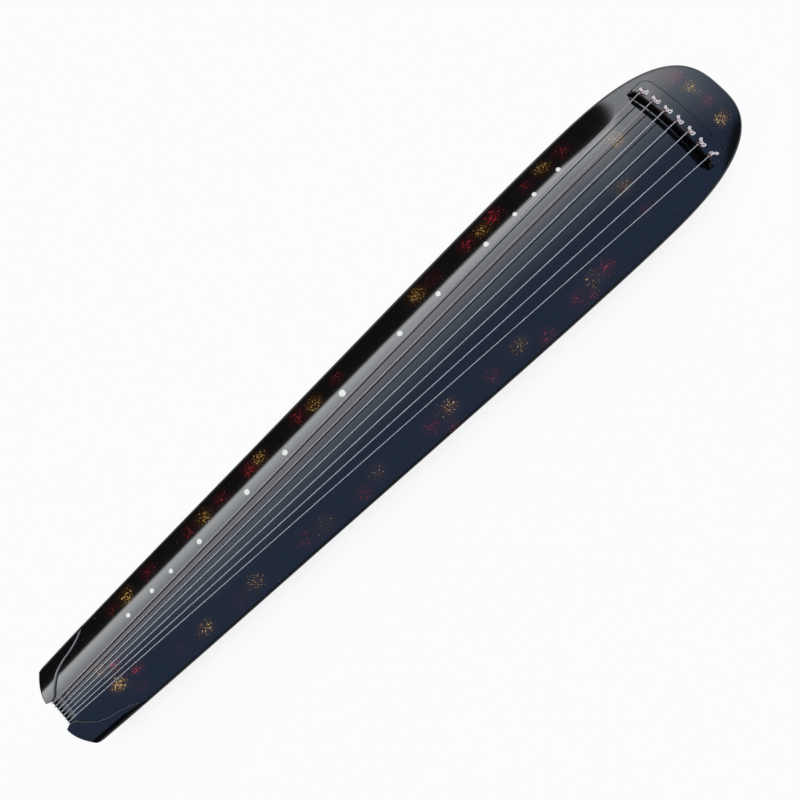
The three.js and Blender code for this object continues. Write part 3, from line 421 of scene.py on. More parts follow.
# Grain: a noise stretched by a scale along X, Y and Z picks between a dark and a light tone, and can also
# lift the surface, with a strength and a depth
def grained(material, scale, detail, tones=None, relief=None, distortion=0.0):
    tree, inputs = material.node_tree, shaderInputs(material)
    place = addNode(tree, "Mapping", Vector=addNode(tree, "TexCoord")["Object"], Scale=scale)[0]
    grain = addNode(tree, "TexNoise", Vector=place, Scale=1.0, Detail=detail, Distortion=distortion)[0]
    if tones:
        dark, light = colour(tones[0]), colour(tones[1])
        tree.links.new(addNode(tree, "Mix", ofColours, _0=grain, _6=dark, _7=light)[2], inputs["Base Color"])
    if relief:
        strength, depth = relief
        bump = addNode(tree, "Bump", Strength=strength, Distance=depth, Height=grain)[0]
        tree.links.new(bump, inputs["Normal"])


# Sprinkled leaf under the clear coat: a fine noise plus a share of the density painted on the mesh, cut off
# at a level; a second noise picks each scrap's tone, and a haze of leaf dust lies under the scraps
def leaf(material, attribute, tones, seed, haze):
    tree = material.node_tree
    moved = addNode(tree, "Mapping", Vector=addNode(tree, "TexCoord")["Object"],
                    Location=(seed, seed * 0.7, seed * 1.3))[0]
    density = addNode(tree, "Attribute", {"attribute_name": attribute})["Fac"]
    scraps = addNode(tree, "TexNoise", Vector=moved, Scale=540.0, Detail=2.0, Roughness=0.6)[0]
    level = addNode(tree, "Math", timesPlus, _0=density, _1=0.26, _2=scraps)[0]
    tone = addNode(tree, "TexNoise", Vector=moved, Scale=460.0, Detail=1.0)[0]
    ramp = addNode(tree, "ValToRGB", Fac=tone)[0]
    setStops(ramp.node.color_ramp, list(zip((0.38, 0.5, 0.64), tones)))
    overlay(material, addNode(tree, "Math", times, _0=density, _1=haze)[0], colour(tones[0]))
    overlay(material, addNode(tree, "MapRange", smoothly, Value=level, _1=0.75, _2=0.785)[0], ramp)


# Painted shade on the rounded edges, where rim is painted: no clear coat, a dull low shine, black specular
# tint
def paintedShadeRim(material):
    tree, inputs = material.node_tree, shaderInputs(material)
    rim = addNode(tree, "Attribute", {"attribute_name": "rim"})["Fac"]
    for name, edge in (("Coat Weight", 0.0), ("Roughness", 0.35)):
        middle = inputs[name].default_value
        tree.links.new(addNode(tree, "MapRange", smoothly, Value=rim, _3=middle, _4=edge)[0], inputs[name])
    worn = addNode(tree, "MapRange", smoothly, Value=rim)[0]
    shine = addNode(tree, "Mix", ofColours, _0=worn, _6=(1, 1, 1, 1), _7=(0, 0, 0, 1))[2]
    tree.links.new(shine, inputs["Specular Tint"])


# Polished black lacquer: many thin coats rubbed down and polished, so it mirrors the room, a little
# softened by the hand; deep black under the shine, with sprinkled cinnabar and gold leaf
lacquer = newMaterial("polishedBlackLacquer", "#08090b", Roughness=0.07, IOR=2.2, Coat_Weight=1.0,
                      Coat_IOR=1.75)
grained(lacquer, (26, 26, 26), 4, ("#060709", "#0c0d10"))
leaf(lacquer, "cinnabar", ("#360b0f", "#a81a22", "#ec4850"), 3.1, 0.65)
leaf(lacquer, "gold", ("#442806", "#c88a20", "#ffe296"), 7.7, 0.6)
# painted shade: where the rim attribute is painted, the rounded edges mirror nothing and render dark
paintedShadeRim(lacquer)
grained(lacquer, (14, 14, 14), 2, relief=(0.05, 0.002))

# Planed wood, left bare inside: pale, with darker lines along its length
wood = newMaterial("planedWood", "#b6935f", Roughness=0.65)
grained(wood, (6, 90, 90), 5, ("#94703f", "#d2b27c"), (0.3, 0.0004))

# Dark lacquer putty in the joint round an inlay: dull, a little uneven
putty = newMaterial("lacquerPutty", "#08080a", Roughness=0.8, IOR=1.2)
grained(putty, (900, 900, 900), 2, relief=(0.3, 0.0001))

# Dark hardwood, oiled and polished: a dense fine grain that barely shows
hardwood = newMaterial("polishedHardwood", "#0b0a0b", Roughness=0.07, IOR=2.2, Coat_Weight=1.0,
                       Coat_IOR=1.75)
# painted shade: where the rim attribute is painted, the rounded edges mirror nothing and render dark
paintedShadeRim(hardwood)
grained(hardwood, (40, 260, 260), 4, ("#060608", "#0e0d0e"), (0.04, 0.0002))

# Oiled ebony, left off the polish: dull black with a faint brown grain
ebony = newMaterial("oiledEbony", "#08080a", Roughness=0.5, IOR=1.25, Specular_IOR_Level=0.2)
grained(ebony, (260, 40, 260), 4, ("#040406", "#0f0d0c"), (0.12, 0.0002))

# The same wood painted paler along an edge, a painted highlight
highlightEdge = newMaterial("ebonyPaintedHighlight", "#3c3634", Roughness=0.6, IOR=1.3)
grained(highlightEdge, (160, 160, 160), 3, ("#2a2523", "#5a5452"))

# Rosewood pegs: brown streaks along the turned length
pegWood = newMaterial("turnedRosewood", "#2a1712", Roughness=0.3, Coat_Weight=0.4, Coat_Roughness=0.12)
grained(pegWood, (420, 420, 45), 5, ("#170b08", "#4a2a1e"), (0.25, 0.0003))

# Mother-of-pearl: warm and cool whites in soft layers under a polished surface
shell = newMaterial("motherOfPearl", "#f1f0ea", Roughness=0.22, Coat_Weight=1.0)
grained(shell, (180, 180, 180), 2, ("#fbf6ea", "#e2ebe8"), distortion=1.2)

# Dyed silk cord: dull, with fine fibres
silk = newMaterial("dyedSilkCord", "#5a1218", Roughness=0.72, Sheen_Weight=0.4)
grained(silk, (2600, 2600, 2600), 2, ("#3d090e", "#7c1d24"), (0.5, 0.0002))


# String: a bright wrapping of fine turns round the core; silver-grey, duller and pinkish on the two thick
# ones, and whiter where it is knotted beyond the bridge
def wrappedString(name, dark, light):
    material = newMaterial(name, light, Roughness=0.34, Metallic=0.15)
    grained(material, (40, 40, 40), 2, (dark, light))
    tree = material.node_tree
    place = addNode(tree, "TexCoord")["Object"]
    x = addNode(tree, "SeparateXYZ", Vector=place)[0]
    knotted = addNode(tree, "MapRange", smoothly, Value=x, _1=bridgeX + 2 * mm, _2=bridgeX + 5 * mm)[0]
    overlay(material, knotted, colour("#f3e9ea"))
    wraps = addNode(tree, "TexWave", {"bands_direction": "X"}, Vector=place, Scale=520.0)["Fac"]
    bump = addNode(tree, "Bump", Strength=0.25, Distance=0.0001, Height=wraps)[0]
    tree.links.new(bump, shaderInputs(material)["Normal"])
    return material


thin = wrappedString("silverWrap", "#adb1b9", "#cbced4")
thick = wrappedString("tarnishedWrap", "#a19497", "#bfb2b5")
print("finishes made")

# Top board: columns run across, close together at the rounded edges; rows run along
board = {
    "edgeInsets": [0, 0.12, 0.35, 0.7, 1.15, 1.7, 2.35, 3.1, 3.9, 4.7, 5.6, 7, 9, 12, 16.8, 17.2],
    "middleColumns": 43, "taperRows": 260, "headRows": 80, "tailRows": 34, "tailWarp": 60 * mm,
    "topWall": 11 * mm, "sideWall": 17 * mm, "padDrop": 7 * mm, "padMargin": 14 * mm, "padEdge": 3 * mm,
    "headBlock": 150 * mm, "tailBlock": 78 * mm, "tailPower": 1.6, "headStop": 0.012,
    "wallStep": 0.2 * mm, "stretch": 1.7, "faintest": 0.4, "falloff": 1.5,
    # clusters of chips: place along and across in millimetres, reach in millimetres, strength
    "gold": [
        (365, 83, 11, 0.5), (249, 79, 11, 0.55), (127, 76, 12, 0.7), (-75, 66, 11, 0.65),
        (-179, 64, 10, 0.65), (-289, 58, 11, 0.65), (-439, 53, 11, 0.65), (457, 39, 11, 0.85),
        (417, -14, 11, 0.65), (306, -72, 14, 0.15), (175, -68, 13, 0.3), (52, -64, 13, 0.45),
        (-75, -61, 12, 0.1), (-174, -62, 13, 0.02), (-294, -54, 12, 0.35), (-385, -52, 11, 0.65),
        (-521, -26, 12, 1.0), (-530, 4, 9, 0.65), (580, 23, 10, 0.75), (581, 10, 6, 0.3),
        (577, -36, 11, 0.8),
    ],
    "cinnabar": [
        (400, 81, 11, 0.35), (332, 81, 9, 0.25), (273, 82, 12, 0.7), (221, 79, 12, 0.5), (158, 77, 12, 0.05),
        (-30, 70, 10, 0.3), (-102, 69, 12, 0.45), (-199, 62, 12, 0.6), (-256, 60, 11, 0.4),
        (-317, 59, 10, 0.3), (-395, 58, 11, 0.3), (-466, 55, 9, 0.3), (417, -54, 9, 0.2),
        (330, -74, 13, 0.45), (272, -77, 12, 0.4), (293, -87, 9, 0.25), (212, -86, 12, 0.35),
        (123, -73, 12, 0.3), (19, -67, 13, 0.3), (39, -84, 10, 0.25), (-108, -66, 12, 0.25),
        (-205, -59, 14, 0.02), (-325, -57, 12, 0.12), (-429, -49, 11, -0.1), (-488, -27, 10, 0.6),
        (-510, -4, 11, 0.6), (-501, -49, 10, 0.12), (577, 48, 12, 0.55), (581, -6, 10, 0.35),
    ],
}


# Rows along the body: closer together at the tail end and round the head, and a close pair at each wall
def boardRows(taperRows, headRows, tailRows):
    tail = np.linspace(0, 1, tailRows) ** board["tailPower"] * board["tailWarp"] + tailX
    taper = np.linspace(tailX + board["tailWarp"], widestX, taperRows)[1:]
    angle = np.linspace(turn / 4, board["headStop"], headRows)[1:]
    head = widestX + body["headLength"] * np.cos(angle) ** (2 / body["headPower"])
    ends = [tailX + board["tailBlock"], headX - board["headBlock"]]
    walls = [x + step for x in ends for step in (-board["wallStep"], board["wallStep"])]
    return np.unique(np.concatenate([tail, taper, head, walls]))


# Plan of the columns: fixed distances in from each edge, then even shares of what is left between them
def boardColumns(half, lean, count):
    insets = np.array(board["edgeInsets"]) * mm
    insets = lean + insets * (1 - lean / insets[-2])
    squeeze = np.minimum(half / (insets[-1] * 1.6), 1)
    insets = insets[None, :] * squeeze[:, None]
    inner = half - insets[:, -1]
    middle = np.linspace(-1, 1, count + 2)[1:-1][None, :] * inner[:, None]
    return np.concatenate([insets - half[:, None], middle, (half[:, None] - insets)[:, ::-1]], axis=1)


# How far the sides lean in at a height: evenly more from the rounded top edge down to the underside
def leanAt(z):
    upright = body["edgeHeight"] - body["edgeRound"] - body["stand"]
    return float(body["lean"] * np.clip(1 - (z - body["stand"]) / upright, 0, 1))


# Plan of the rows and columns, shifted near the tail so that the first row follows its end
def warpedPlan(rows, lean, count):
    half = halfWidth(rows)
    y = boardColumns(half, lean, count)
    x = np.repeat(rows[:, None], y.shape[1], axis=1)
    fade = np.clip(1 - (x - tailX) / board["tailWarp"], 0, 1)
    return x + (tailEnd(y) - tailX) * fade, y


# Upper side on the rounded top surface; lower side flat at the joint, and hollowed out to an even wall
# below the arch, with a lower pad round each sound hole
def topBoard():
    rows = boardRows(board["taperRows"], board["headRows"], board["tailRows"])
    x, y = warpedPlan(rows, 0.0, board["middleColumns"])
    lowX, lowY = warpedPlan(rows, leanAt(body["joint"]), board["middleColumns"])
    ceiling = archHeight(lowX, lowY) - board["topWall"]
    for at, long, wide in (bottom["longHole"], bottom["shortHole"]):
        away = (np.hypot(np.maximum(np.abs(lowX - at) - (long - wide) / 2, 0), lowY) - wide / 2
                - board["padMargin"])
        ceiling = ceiling - board["padDrop"] * np.clip(0.5 - away / board["padEdge"], 0, 1)
    inset = halfWidth(lowX) - np.abs(lowY)
    hollow = ((inset > board["sideWall"]) & (lowX > tailX + board["tailBlock"])
              & (lowX < headX - board["headBlock"]))
    upper = np.stack([x, y, topHeight(x, y)], -1)
    lower = np.stack([lowX, lowY, np.where(hollow, ceiling, body["joint"])], -1)
    piece, faces = slab("topBoardLacquered", upper, lower)
    inside = np.concatenate([np.zeros_like(hollow), hollow[:, ::-1]], axis=1)
    twoFinishes(piece, lacquer, wood, inside.ravel()[faces].any(axis=1))
    for name in ("gold", "cinnabar"):
        density = np.zeros(x.shape)
        for clusterX, clusterY, reach, strength in board[name]:
            away = (x - clusterX * mm) ** 2 / board["stretch"] + (y - clusterY * mm) ** 2
            strongest = board["faintest"] + (1 - board["faintest"]) * strength
            fall = np.exp(-(away / (reach * mm) ** 2) ** board["falloff"])
            density = np.maximum(density, strongest * fall)
        paint(piece, name, onUpper(density))
    # painted shade along the rounded side edges and the tail end
    paint(piece, "rim", onUpper(rimShare(np.minimum(rimDistance(x, y), (x - tailEnd(y)) * 2))))
    return piece


bridge = {
    "height": 12 * mm, "top": 4.2 * mm, "base": 8.2 * mm, "width": 150.22 * mm, "endSlope": 7 * mm,
    "toe": 1.6 * mm, "seat": 4 * mm, "topRound": 0.8 * mm, "headRound": 1.4 * mm,
    "ends": [(-0.2, 0), (0, 0), (0.15, 0.05), (0.35, 0.2), (0.6, 0.52), (0.85, 0.88), (1, 1), (1.2, 1)],
}
fillet = {"width": 1.5 * mm, "rise": 0.8 * mm, "lengthShare": 0.96, "fade": 3 * mm, "power": 1.3,
          "dullShade": (0.2, 0.85)}


# Bridge: upright on the tail side, and on the head side falling as the cube of the share of the height below
# the top; its height runs out to a toe at both ends, and both top edges are quarter circles
def makeBridge():
    half = bridge["width"] / 2
    slope = bridge["endSlope"]
    y = np.concatenate([np.linspace(0, slope, 26), np.linspace(slope, half, 50)[1:]])
    y = np.unique(np.concatenate([y - half, half - y]))
    share = np.clip((half - np.abs(y)) / slope, 0, 1)
    rise = np.clip(smoothTable(bridge["ends"], share), 0, 1)
    high = (bridge["toe"] + rise * (bridge["height"] - bridge["toe"]))[:, None]
    r = np.minimum(bridge["topRound"], high / 3)
    worn = np.minimum(bridge["headRound"], high / 3)
    arc = np.linspace(0, turn / 4, 6)[None, :]
    fall = np.linspace(0, 1, 18)[None, 1:]
    downX = bridge["top"] + (bridge["base"] - bridge["top"]) * fall**3 + 0 * high
    downZ = (high - worn) + (bridge["toe"] / 2 - high + worn) * fall
    under = np.full_like(high, -bridge["seat"])
    across = np.concatenate([
        np.zeros_like(high), r * (1 - np.cos(arc)), bridge["top"] - worn * (1 - np.sin(arc)), downX,
        np.full_like(high, bridge["base"])], 1)
    up = np.concatenate([
        under, high - r * (1 - np.sin(arc)), high - worn * (1 - np.cos(arc)), downZ, under], 1)
    rows, columns = across.shape
    wide = np.repeat(y[:, None], columns, axis=1)
    points = np.stack([bridgeX + across, wide, archHeight(np.full_like(wide, bridgeX), wide) + up], -1)
    faces = tubeFaces(rows, columns)
    piece = newPiece("bridgePolished", points, faces, sharp=sharpEdge)
    # painted highlight: the far half's rounded top edge on the head side gets the paler finish
    number, edge = np.arange(len(faces)), 1 + arc.size
    place = number % columns
    highlitFaces = (number < (rows - 1) * columns) & (place >= edge) & (place < edge + arc.size - 1)
    twoFinishes(piece, ebony, highlightEdge, highlitFaces & (y[np.minimum(number // columns, rows - 1)] > 0))
    return piece


# Fillet of lacquer where the bridge's tail side meets the top board: its height is a power of the share of
# its width
def makeFillet():
    reach = fillet["lengthShare"] * bridge["width"] / 2
    y = np.linspace(-fillet["lengthShare"], fillet["lengthShare"], 120)[:, None] * bridge["width"] / 2
    share = np.linspace(0, 1, 9)[None, :]
    x = bridgeX - fillet["width"] * (1 - share) + 0 * y
    y = y + 0 * x
    base = archHeight(x, y)
    fade = np.clip((reach - np.abs(y)) / fillet["fade"], 0, 1)
    upper = np.stack([x, y, base + fillet["rise"] * share ** fillet["power"] * fade + string["touch"]], -1)
    lower = np.stack([x, y, base - bridge["toe"]], -1)
    piece = slab("bridgeFillet", upper, lower)[0]
    # painted shade on the fillet, more towards the near side, so its shine fades there
    paint(piece, "rim", onUpper(np.clip(0.5 - y / bridge["width"], *fillet["dullShade"])))
    return piece


# Head inlay: an arched panel behind the bridge whose head corners are quarter circles
inlay = {"length": 25.6 * mm, "round": 11 * mm, "thickness": 3 * mm, "rise": 0.3 * mm, "edge": 0.25 * mm,
         "joint": 0.95 * mm, "jointRise": 0.04 * mm, "fromBridge": 0.3 * mm, "holeFromBridge": 17 * mm,
         "holeWidth": 5.4 * mm, "edgeInsets": [0, 0.05, 0.12, 0.25, 0.45, 0.8]}
holeX = bridgeX + inlay["holeFromBridge"]
stringSpan = body["width"] * 0.609
bridgeY = [(0.5 - i / 6) * stringSpan for i in range(7)]


# The panel stands a little above the arch, with a rounded edge and a line of putty in the joint round it
def makeInlay():
    joint = inlay["joint"]
    start = bridgeX + bridge["base"] + inlay["fromBridge"]
    to, r, wide = start + inlay["length"] + joint, inlay["round"] + joint, bridge["width"] / 2 + joint
    edge = np.concatenate([[0, joint - close], joint + np.array(inlay["edgeInsets"]) * mm])
    corner = to - r + r * np.sin(np.linspace(0, turn / 4 - 0.02, 40))
    rows = np.concatenate([[start, start + 0.2 * mm], np.linspace(start + mm, to - r, 12), corner, to - edge])
    rows = np.unique(rows)
    half = wide - r + np.sqrt(np.clip(r**2 - np.clip(rows - to + r, 0, r) ** 2, 0, None))
    inner = np.linspace(-1, 1, 61)[None, :] * (half[:, None] - edge[-1] - 0.4 * mm)
    y = np.concatenate([edge - half[:, None], inner, (half[:, None] - edge)[:, ::-1]], 1)
    x = np.repeat(rows[:, None], y.shape[1], 1)
    fromCorner = r - np.hypot(x - to + r, np.abs(y) - wide + r)
    near = np.where((np.abs(y) > wide - r) & (x > to - r), fromCorner, np.minimum(wide - np.abs(y), to - x))
    inJoint = near < joint - close / 2
    arch = archHeight(x, y)
    rise = np.where(inJoint, inlay["jointRise"], inlay["rise"] - edgeDrop(near - joint, inlay["edge"]))
    upper, lower = np.stack([x, y, arch + rise], -1), np.stack([x, y, arch - inlay["thickness"]], -1)
    piece, faces = slab("headInlayPolished", upper, lower)
    twoFinishes(piece, hardwood, putty, onUpper(inJoint).ravel()[faces].any(axis=1))
    return piece


# Tail caps: the plan lies between the outline of the tail and an S-shaped curve from the notch to the side
cap = {"length": 103 * mm, "depth": 7.5 * mm, "rise": 1.2 * mm, "bevel": 4.5 * mm, "farDrop": 0.8 * mm,
       "nearDrop": 0.62 * mm, "joint": 0.7 * mm, "jointRise": 0.04 * mm, "proud": 0.08 * mm, "dullShade": 4.2 * mm,
       "nearShade": 4.5 * mm, "shadeFrom": 2 * mm, "fadeRate": 3, "widthShare": 0.9, "steps": 150,
       "edgeInsets": [0, 0.1, 0.3, 0.6, 1, 1.5, 2.1, 2.8, 3.5, 4.2, 5, 6],
       "curve": [(0, 0), (0.1, 0.05), (0.17, 0.2), (0.25, 0.345), (0.33, 0.465), (0.42, 0.54), (0.52, 0.6),
                 (0.62, 0.635), (0.735, 0.695), (0.84, 0.775), (0.92, 0.86), (1, 1.03)]}


# Evenly spaced points along a path
def spaced(path, count):
    along = np.concatenate([[0], np.cumsum(np.hypot(*np.diff(path, axis=0).T))])
    at = np.linspace(0, along[-1], count)
    return np.column_stack([np.interp(at, along, path[:, 0]), np.interp(at, along, path[:, 1])])


# Rows run from the S-shaped curve to the outline. The top is that of the board plus a rise, which falls to
# the joint line as a quarter ellipse
def makeCap(word, side):
    number = range(len(cap["curve"]))
    t = np.linspace(0, len(cap["curve"]) - 1, 400)
    along, out = [smoothTable([(k, cap["curve"][k][axis]) for k in number], t) for axis in (0, 1)]
    notch = body["notchWidth"] / 2
    innerX = notchX + along * (cap["length"] - body["notchDepth"])
    innerY = notch + out * (float(halfWidth(tailX + cap["length"])) - notch)
    kept = innerY < halfWidth(innerX) - close
    inner = np.column_stack([innerX[kept], innerY[kept]])
    endX = inner[-1, 0] + 0.1 * mm
    inner = np.vstack([inner, [endX, float(halfWidth(endX))]])
    tip, corner = body["tipWidth"] / 2, float(halfWidth(cornerX)) - 0.001 * mm
    endY = np.concatenate([np.linspace(notch, tip, 12), np.linspace(tip, corner, 160)[1:]])
    end = np.column_stack([tailEndAt(endY), endY])
    sideX = np.linspace(end[-1, 0], endX, 60)[1:]
    outer = np.vstack([end, np.column_stack([sideX, halfWidth(sideX)])])
    inner, outer = spaced(inner, cap["steps"]), spaced(outer, cap["steps"])
    lift = np.abs(directions(outer)[:, 0]) * cap["proud"]
    outer = outer + np.column_stack([np.zeros(len(outer)), lift])
    width = np.linalg.norm(outer - inner, axis=1)[:, None]
    joint = cap["joint"]
    bevel = joint + (1 - np.cos(np.linspace(0, turn / 4, 12))) * cap["bevel"]
    near = np.concatenate([[0, joint - close], bevel])
    far = np.array(cap["edgeInsets"]) * mm
    squeeze = np.minimum(width / (near[-1] + far[-1]) * cap["widthShare"], 1)
    start, stop = near[-1] * squeeze, width - far[-1] * squeeze
    middle = start + (stop - start) * np.linspace(0, 1, 22)[None, 1:-1]
    v = np.concatenate([near * squeeze, middle, width - (far * squeeze)[:, ::-1]], 1)
    share = (v / np.maximum(width, 1e-9))[:, :, None]
    plan = inner[:, None] * (1 - share) + outer[:, None] * share
    x, y = plan[..., 0], plan[..., 1]
    inJoint = v < joint * squeeze - close / 2
    share = np.clip((v - joint) / cap["bevel"], 0, 1)
    drop = cap["farDrop"] if side > 0 else cap["nearDrop"]
    bevelled = cap["rise"] - drop * (1 - np.sqrt(1 - (1 - share) ** 2))
    upper = np.stack([x, y * side, topHeight(x, y) + np.where(inJoint, cap["jointRise"], bevelled)], -1)
    lower = np.stack([x, y * side, archHeight(x, y) - cap["depth"]], -1)
    toTail = np.clip((tailX + cap["length"] - x) / cap["length"] * cap["fadeRate"], 0, 1)
    # painted shade along the side edge, wider on the near cap towards the tail
    dullShade = cap["dullShade"] + (cap["nearShade"] if side < 0 else 0) * toTail
    rim = np.where(y > notch + cap["shadeFrom"], rimShare(halfWidth(x) - y, dullShade), 0)
    if side > 0:
        upper, lower, inJoint, rim = [grid[:, ::-1] for grid in (upper, lower, inJoint, rim)]
    piece, faces = slab("tailCap" + word, upper, lower)
    paint(piece, "rim", onUpper(rim))
    twoFinishes(piece, hardwood, putty, onUpper(inJoint).ravel()[faces].any(axis=1))
    return piece


# Bottom board, on the same plan as the top board, with its lower edge rounded
bottom = {"round": 3 * mm, "holeEdge": 1.0 * mm, "holeFlat": 0.3 * mm,
          "longHole": (102.1 * mm, 210 * mm, 26 * mm), "shortHole": (-386.5 * mm, 106 * mm, 24 * mm),
          "pool": (25 * mm, 143.03 * mm, 4.17 * mm)}


# Flat at the joint; the underside is drawn in by the lean of the sides and rounded at its edge. Two sound
# holes and the peg pool are cut out
def makeBottom():
    rows = boardRows(70, 60, 20)
    upX, upY = warpedPlan(rows, leanAt(body["joint"]), 9)
    lean = leanAt(body["stand"] + bottom["round"])
    x, y = warpedPlan(rows, lean, 9)
    near = np.minimum(rimDistance(x, y) - lean, x - tailEnd(y))
    drawn = (lean - leanAt(body["joint"])) * np.maximum((x - widestX) / body["headLength"], 0)
    upper = np.stack([upX, upY, np.full_like(upX, body["joint"])], -1)
    lower = np.stack([x - drawn, y, body["stand"] + edgeDrop(near, bottom["round"])], -1)
    piece = slab("bottomBoardLacquered", upper, lower)[0]
    plans = [roundedPlan(at, 0, long, wide, wide / 2 - bottom["holeFlat"], 16)
             for at, long, wide in (bottom["longHole"], bottom["shortHole"])]
    long, wide, r = bottom["pool"]
    plans.append(roundedPlan(holeX, 0, long, wide, r))
    cutBy(piece, [prism(plan, body["stand"] - mm, body["joint"] + mm) for plan in plans])
    return softened(piece, bottom["holeEdge"], 3, 50)


# Feet: a turned neck and base, whose profile is a smooth table of radii in millimetres
foot = {"x": -266.13 * mm, "y": 38.06 * mm, "neck": 8.5 * mm,
        "profile": [(-0.03, 12), (0, 12), (0.022, 12), (0.035, 11.8), (0.05, 10), (0.07, 8.7), (0.1, 8.5),
                    (0.4, 8.5), (0.66, 8.5), (0.7, 8.7), (0.78, 10.1), (0.87, 12.6), (0.93, 13.4),
                    (0.965, 13.5), (0.99, 13.1), (1, 12.7)]}


def makeFoot(word, side):
    depth = np.linspace(0, 1, 90)
    radii = np.concatenate([[tipRadius], smoothTable(foot["profile"], depth) * mm, [tipRadius]])
    heights = body["stand"] * (1 - np.concatenate([[0], depth, [1]]))
    return turned("foot" + word, radii, heights, foot["x"], side * foot["y"])


# Tuning pegs: an eight-sided turned profile with a bore for the cord and a cross hole at its waist
peg = {"length": 36 * mm, "top": 39.7 * mm, "bore": 2.2 * mm, "boreDepth": 13 * mm, "cross": 1.8 * mm,
       "crossDepth": 8.5 * mm, "waist": 5.6 * mm, "crossReach": 12 * mm, "facets": 8, "corner": 0.975,
       "profile": [(0, 7.9), (0.03, 8.2), (0.07, 8.4), (0.11, 7.6), (0.17, 5.6), (0.27, 5.55), (0.37, 5.6),
                   (0.45, 7.2), (0.58, 8.4), (0.8, 6.05), (0.94, 4.2), (0.985, 3.4), (1, 2.5)]}


# Each radius outside is multiplied by the reach of an eight-sided figure, limited at its corners
def makePeg(i):
    depth = np.linspace(0, 1, 70)
    facet = turn / peg["facets"]
    reach = math.cos(facet / 2) / np.cos(np.mod(np.arange(64) * turn / 64, facet) - facet / 2)
    outer = (smoothTable(peg["profile"], depth) * mm)[:, None] * np.minimum(reach, peg["corner"])
    inner = np.repeat([[tipRadius], [peg["bore"]], [peg["bore"]]], 64, axis=1)
    depths = np.concatenate([[peg["boreDepth"], peg["boreDepth"], 0], depth * peg["length"], [peg["length"]]])
    radii = np.concatenate([inner, outer, np.full((1, 64), tipRadius)])
    piece = turned("tuningPeg_%d" % (i + 1), radii, peg["top"] - depths, holeX, bridgeY[i])
    angle = np.arange(24) * turn / 24
    ring = np.column_stack([np.zeros(24), peg["cross"] * np.cos(angle), peg["cross"] * np.sin(angle)])
    ring += [holeX, bridgeY[i], peg["top"] - peg["crossDepth"]]
    cutBy(piece, [cutterBetween(ring, ring + [peg["crossReach"], 0, 0])])
    return piece


# Strings: knot behind the bridge, straight to the nut, round the tail end and the saddle, and round a foot
string = {
    "widths": [1.7, 1.6, 1.5, 1.4, 1.3, 1.2, 1.1], "tailSpan": 33.2 * mm, "farFoot": 4,
    "knotLong": 11.6 * mm / 2, "knotAcross": 3.8 * mm / 2, "knotBend": 2.2 * mm, "knotAside": 1.4 * mm,
    "wire": 1.9 * mm, "lift": 1 * mm, "behind": 8.2 * mm, "below": 4.4 * mm,
    "turns": [16, 0, 0, -18, -16, -21, 41], "tilts": [0, 0, 0, 0, 0, 0, 62],
    "setBack": [0, 0, 0, 0, 0, 0, 1.6],
    "start": 285, "stop": 615, "windings": 1.75, "windingGap": 0.5 * mm, "fromBoard": 3.5 * mm,
    "touch": 0.03 * mm, "nutRound": 3.5 * mm, "nutRise": 2.5 * mm, "nutEndDrop": 1 * mm,
    "saddleRound": 3.5 * mm, "saddleRise": 1.5 * mm, "nutShade": 4 * mm, "nutFade": 0.4 * mm,
    "knotTail": 0.25, "overBridge": [(1 / 3, 0.6), (1 / 6, 0.25)], "thinning": 14,
}
nutTop = float(crownHeight(nutX)) + string["nutRise"]
stringRadius = [w * mm / 2 for w in string["widths"]]


# Three eyes in a row: sideways as the cosine of an angle and a tenth of the cosine of three times it, across
# as the sine of three times it, lifted by the sine of twice it; both ends bend away from the bridge
def knotPath(i, angle):
    back = string["setBack"][i] * mm
    middle = np.array([bridgeX + bridge["top"] + string["behind"] + back, bridgeY[i] - string["knotAside"],
                       float(archHeight(bridgeX, bridgeY[i])) + bridge["height"] - string["below"] + back])
    a, tilt = math.radians(string["turns"][i]), math.radians(string["tilts"][i])
    long = np.array([-math.sin(a), math.cos(a), 0])
    flat = np.array([-math.cos(a), -math.sin(a), 0])
    up = np.array([0, 0, 1])
    across = flat * math.cos(tilt) + up * math.sin(tilt)
    normal = up * math.cos(tilt) - flat * math.sin(tilt)
    angle = np.asarray(angle)[:, None]
    sideways = string["knotLong"] * (np.cos(angle) + np.cos(3 * angle) / 10) / 1.1
    out = string["knotAcross"] * np.sin(3 * angle) + string["knotBend"] * (0.5 - np.cos(angle) ** 2)
    return middle + long * sideways + across * out + normal * string["lift"] * np.sin(2 * angle)


# Part of a circle in an upright plane along the body, from and to a number of quarter turns
def arcAt(x, z, y, radius, start, stop, steps):
    angle = np.linspace(start, stop, steps + 1) * turn / 4
    return np.column_stack([x + radius * np.cos(angle), np.full(steps + 1, y), z + radius * np.sin(angle)])


# Screw line round a foot's neck, one string's width and a gap lower for each turn
def windingPath(i, leaves):
    side = 1 if i < string["farFoot"] else -1
    first = 0 if side > 0 else string["farFoot"]
    rises = [width * mm + string["windingGap"] for width in string["widths"]]
    top = body["stand"] - string["fromBoard"] - sum(rises[first:i]) * math.ceil(string["windings"])
    reach = foot["neck"] + string["touch"] + stringRadius[i]
    lead = math.atan2(foot["y"] - reach - side * leaves[1], foot["x"] - leaves[0])
    angle = np.linspace(0, turn * string["windings"], 90)
    return np.column_stack([foot["x"] + reach * np.sin(lead + angle),
                            side * (foot["y"] - reach * np.cos(lead + angle)), top - rises[i] * angle / turn])


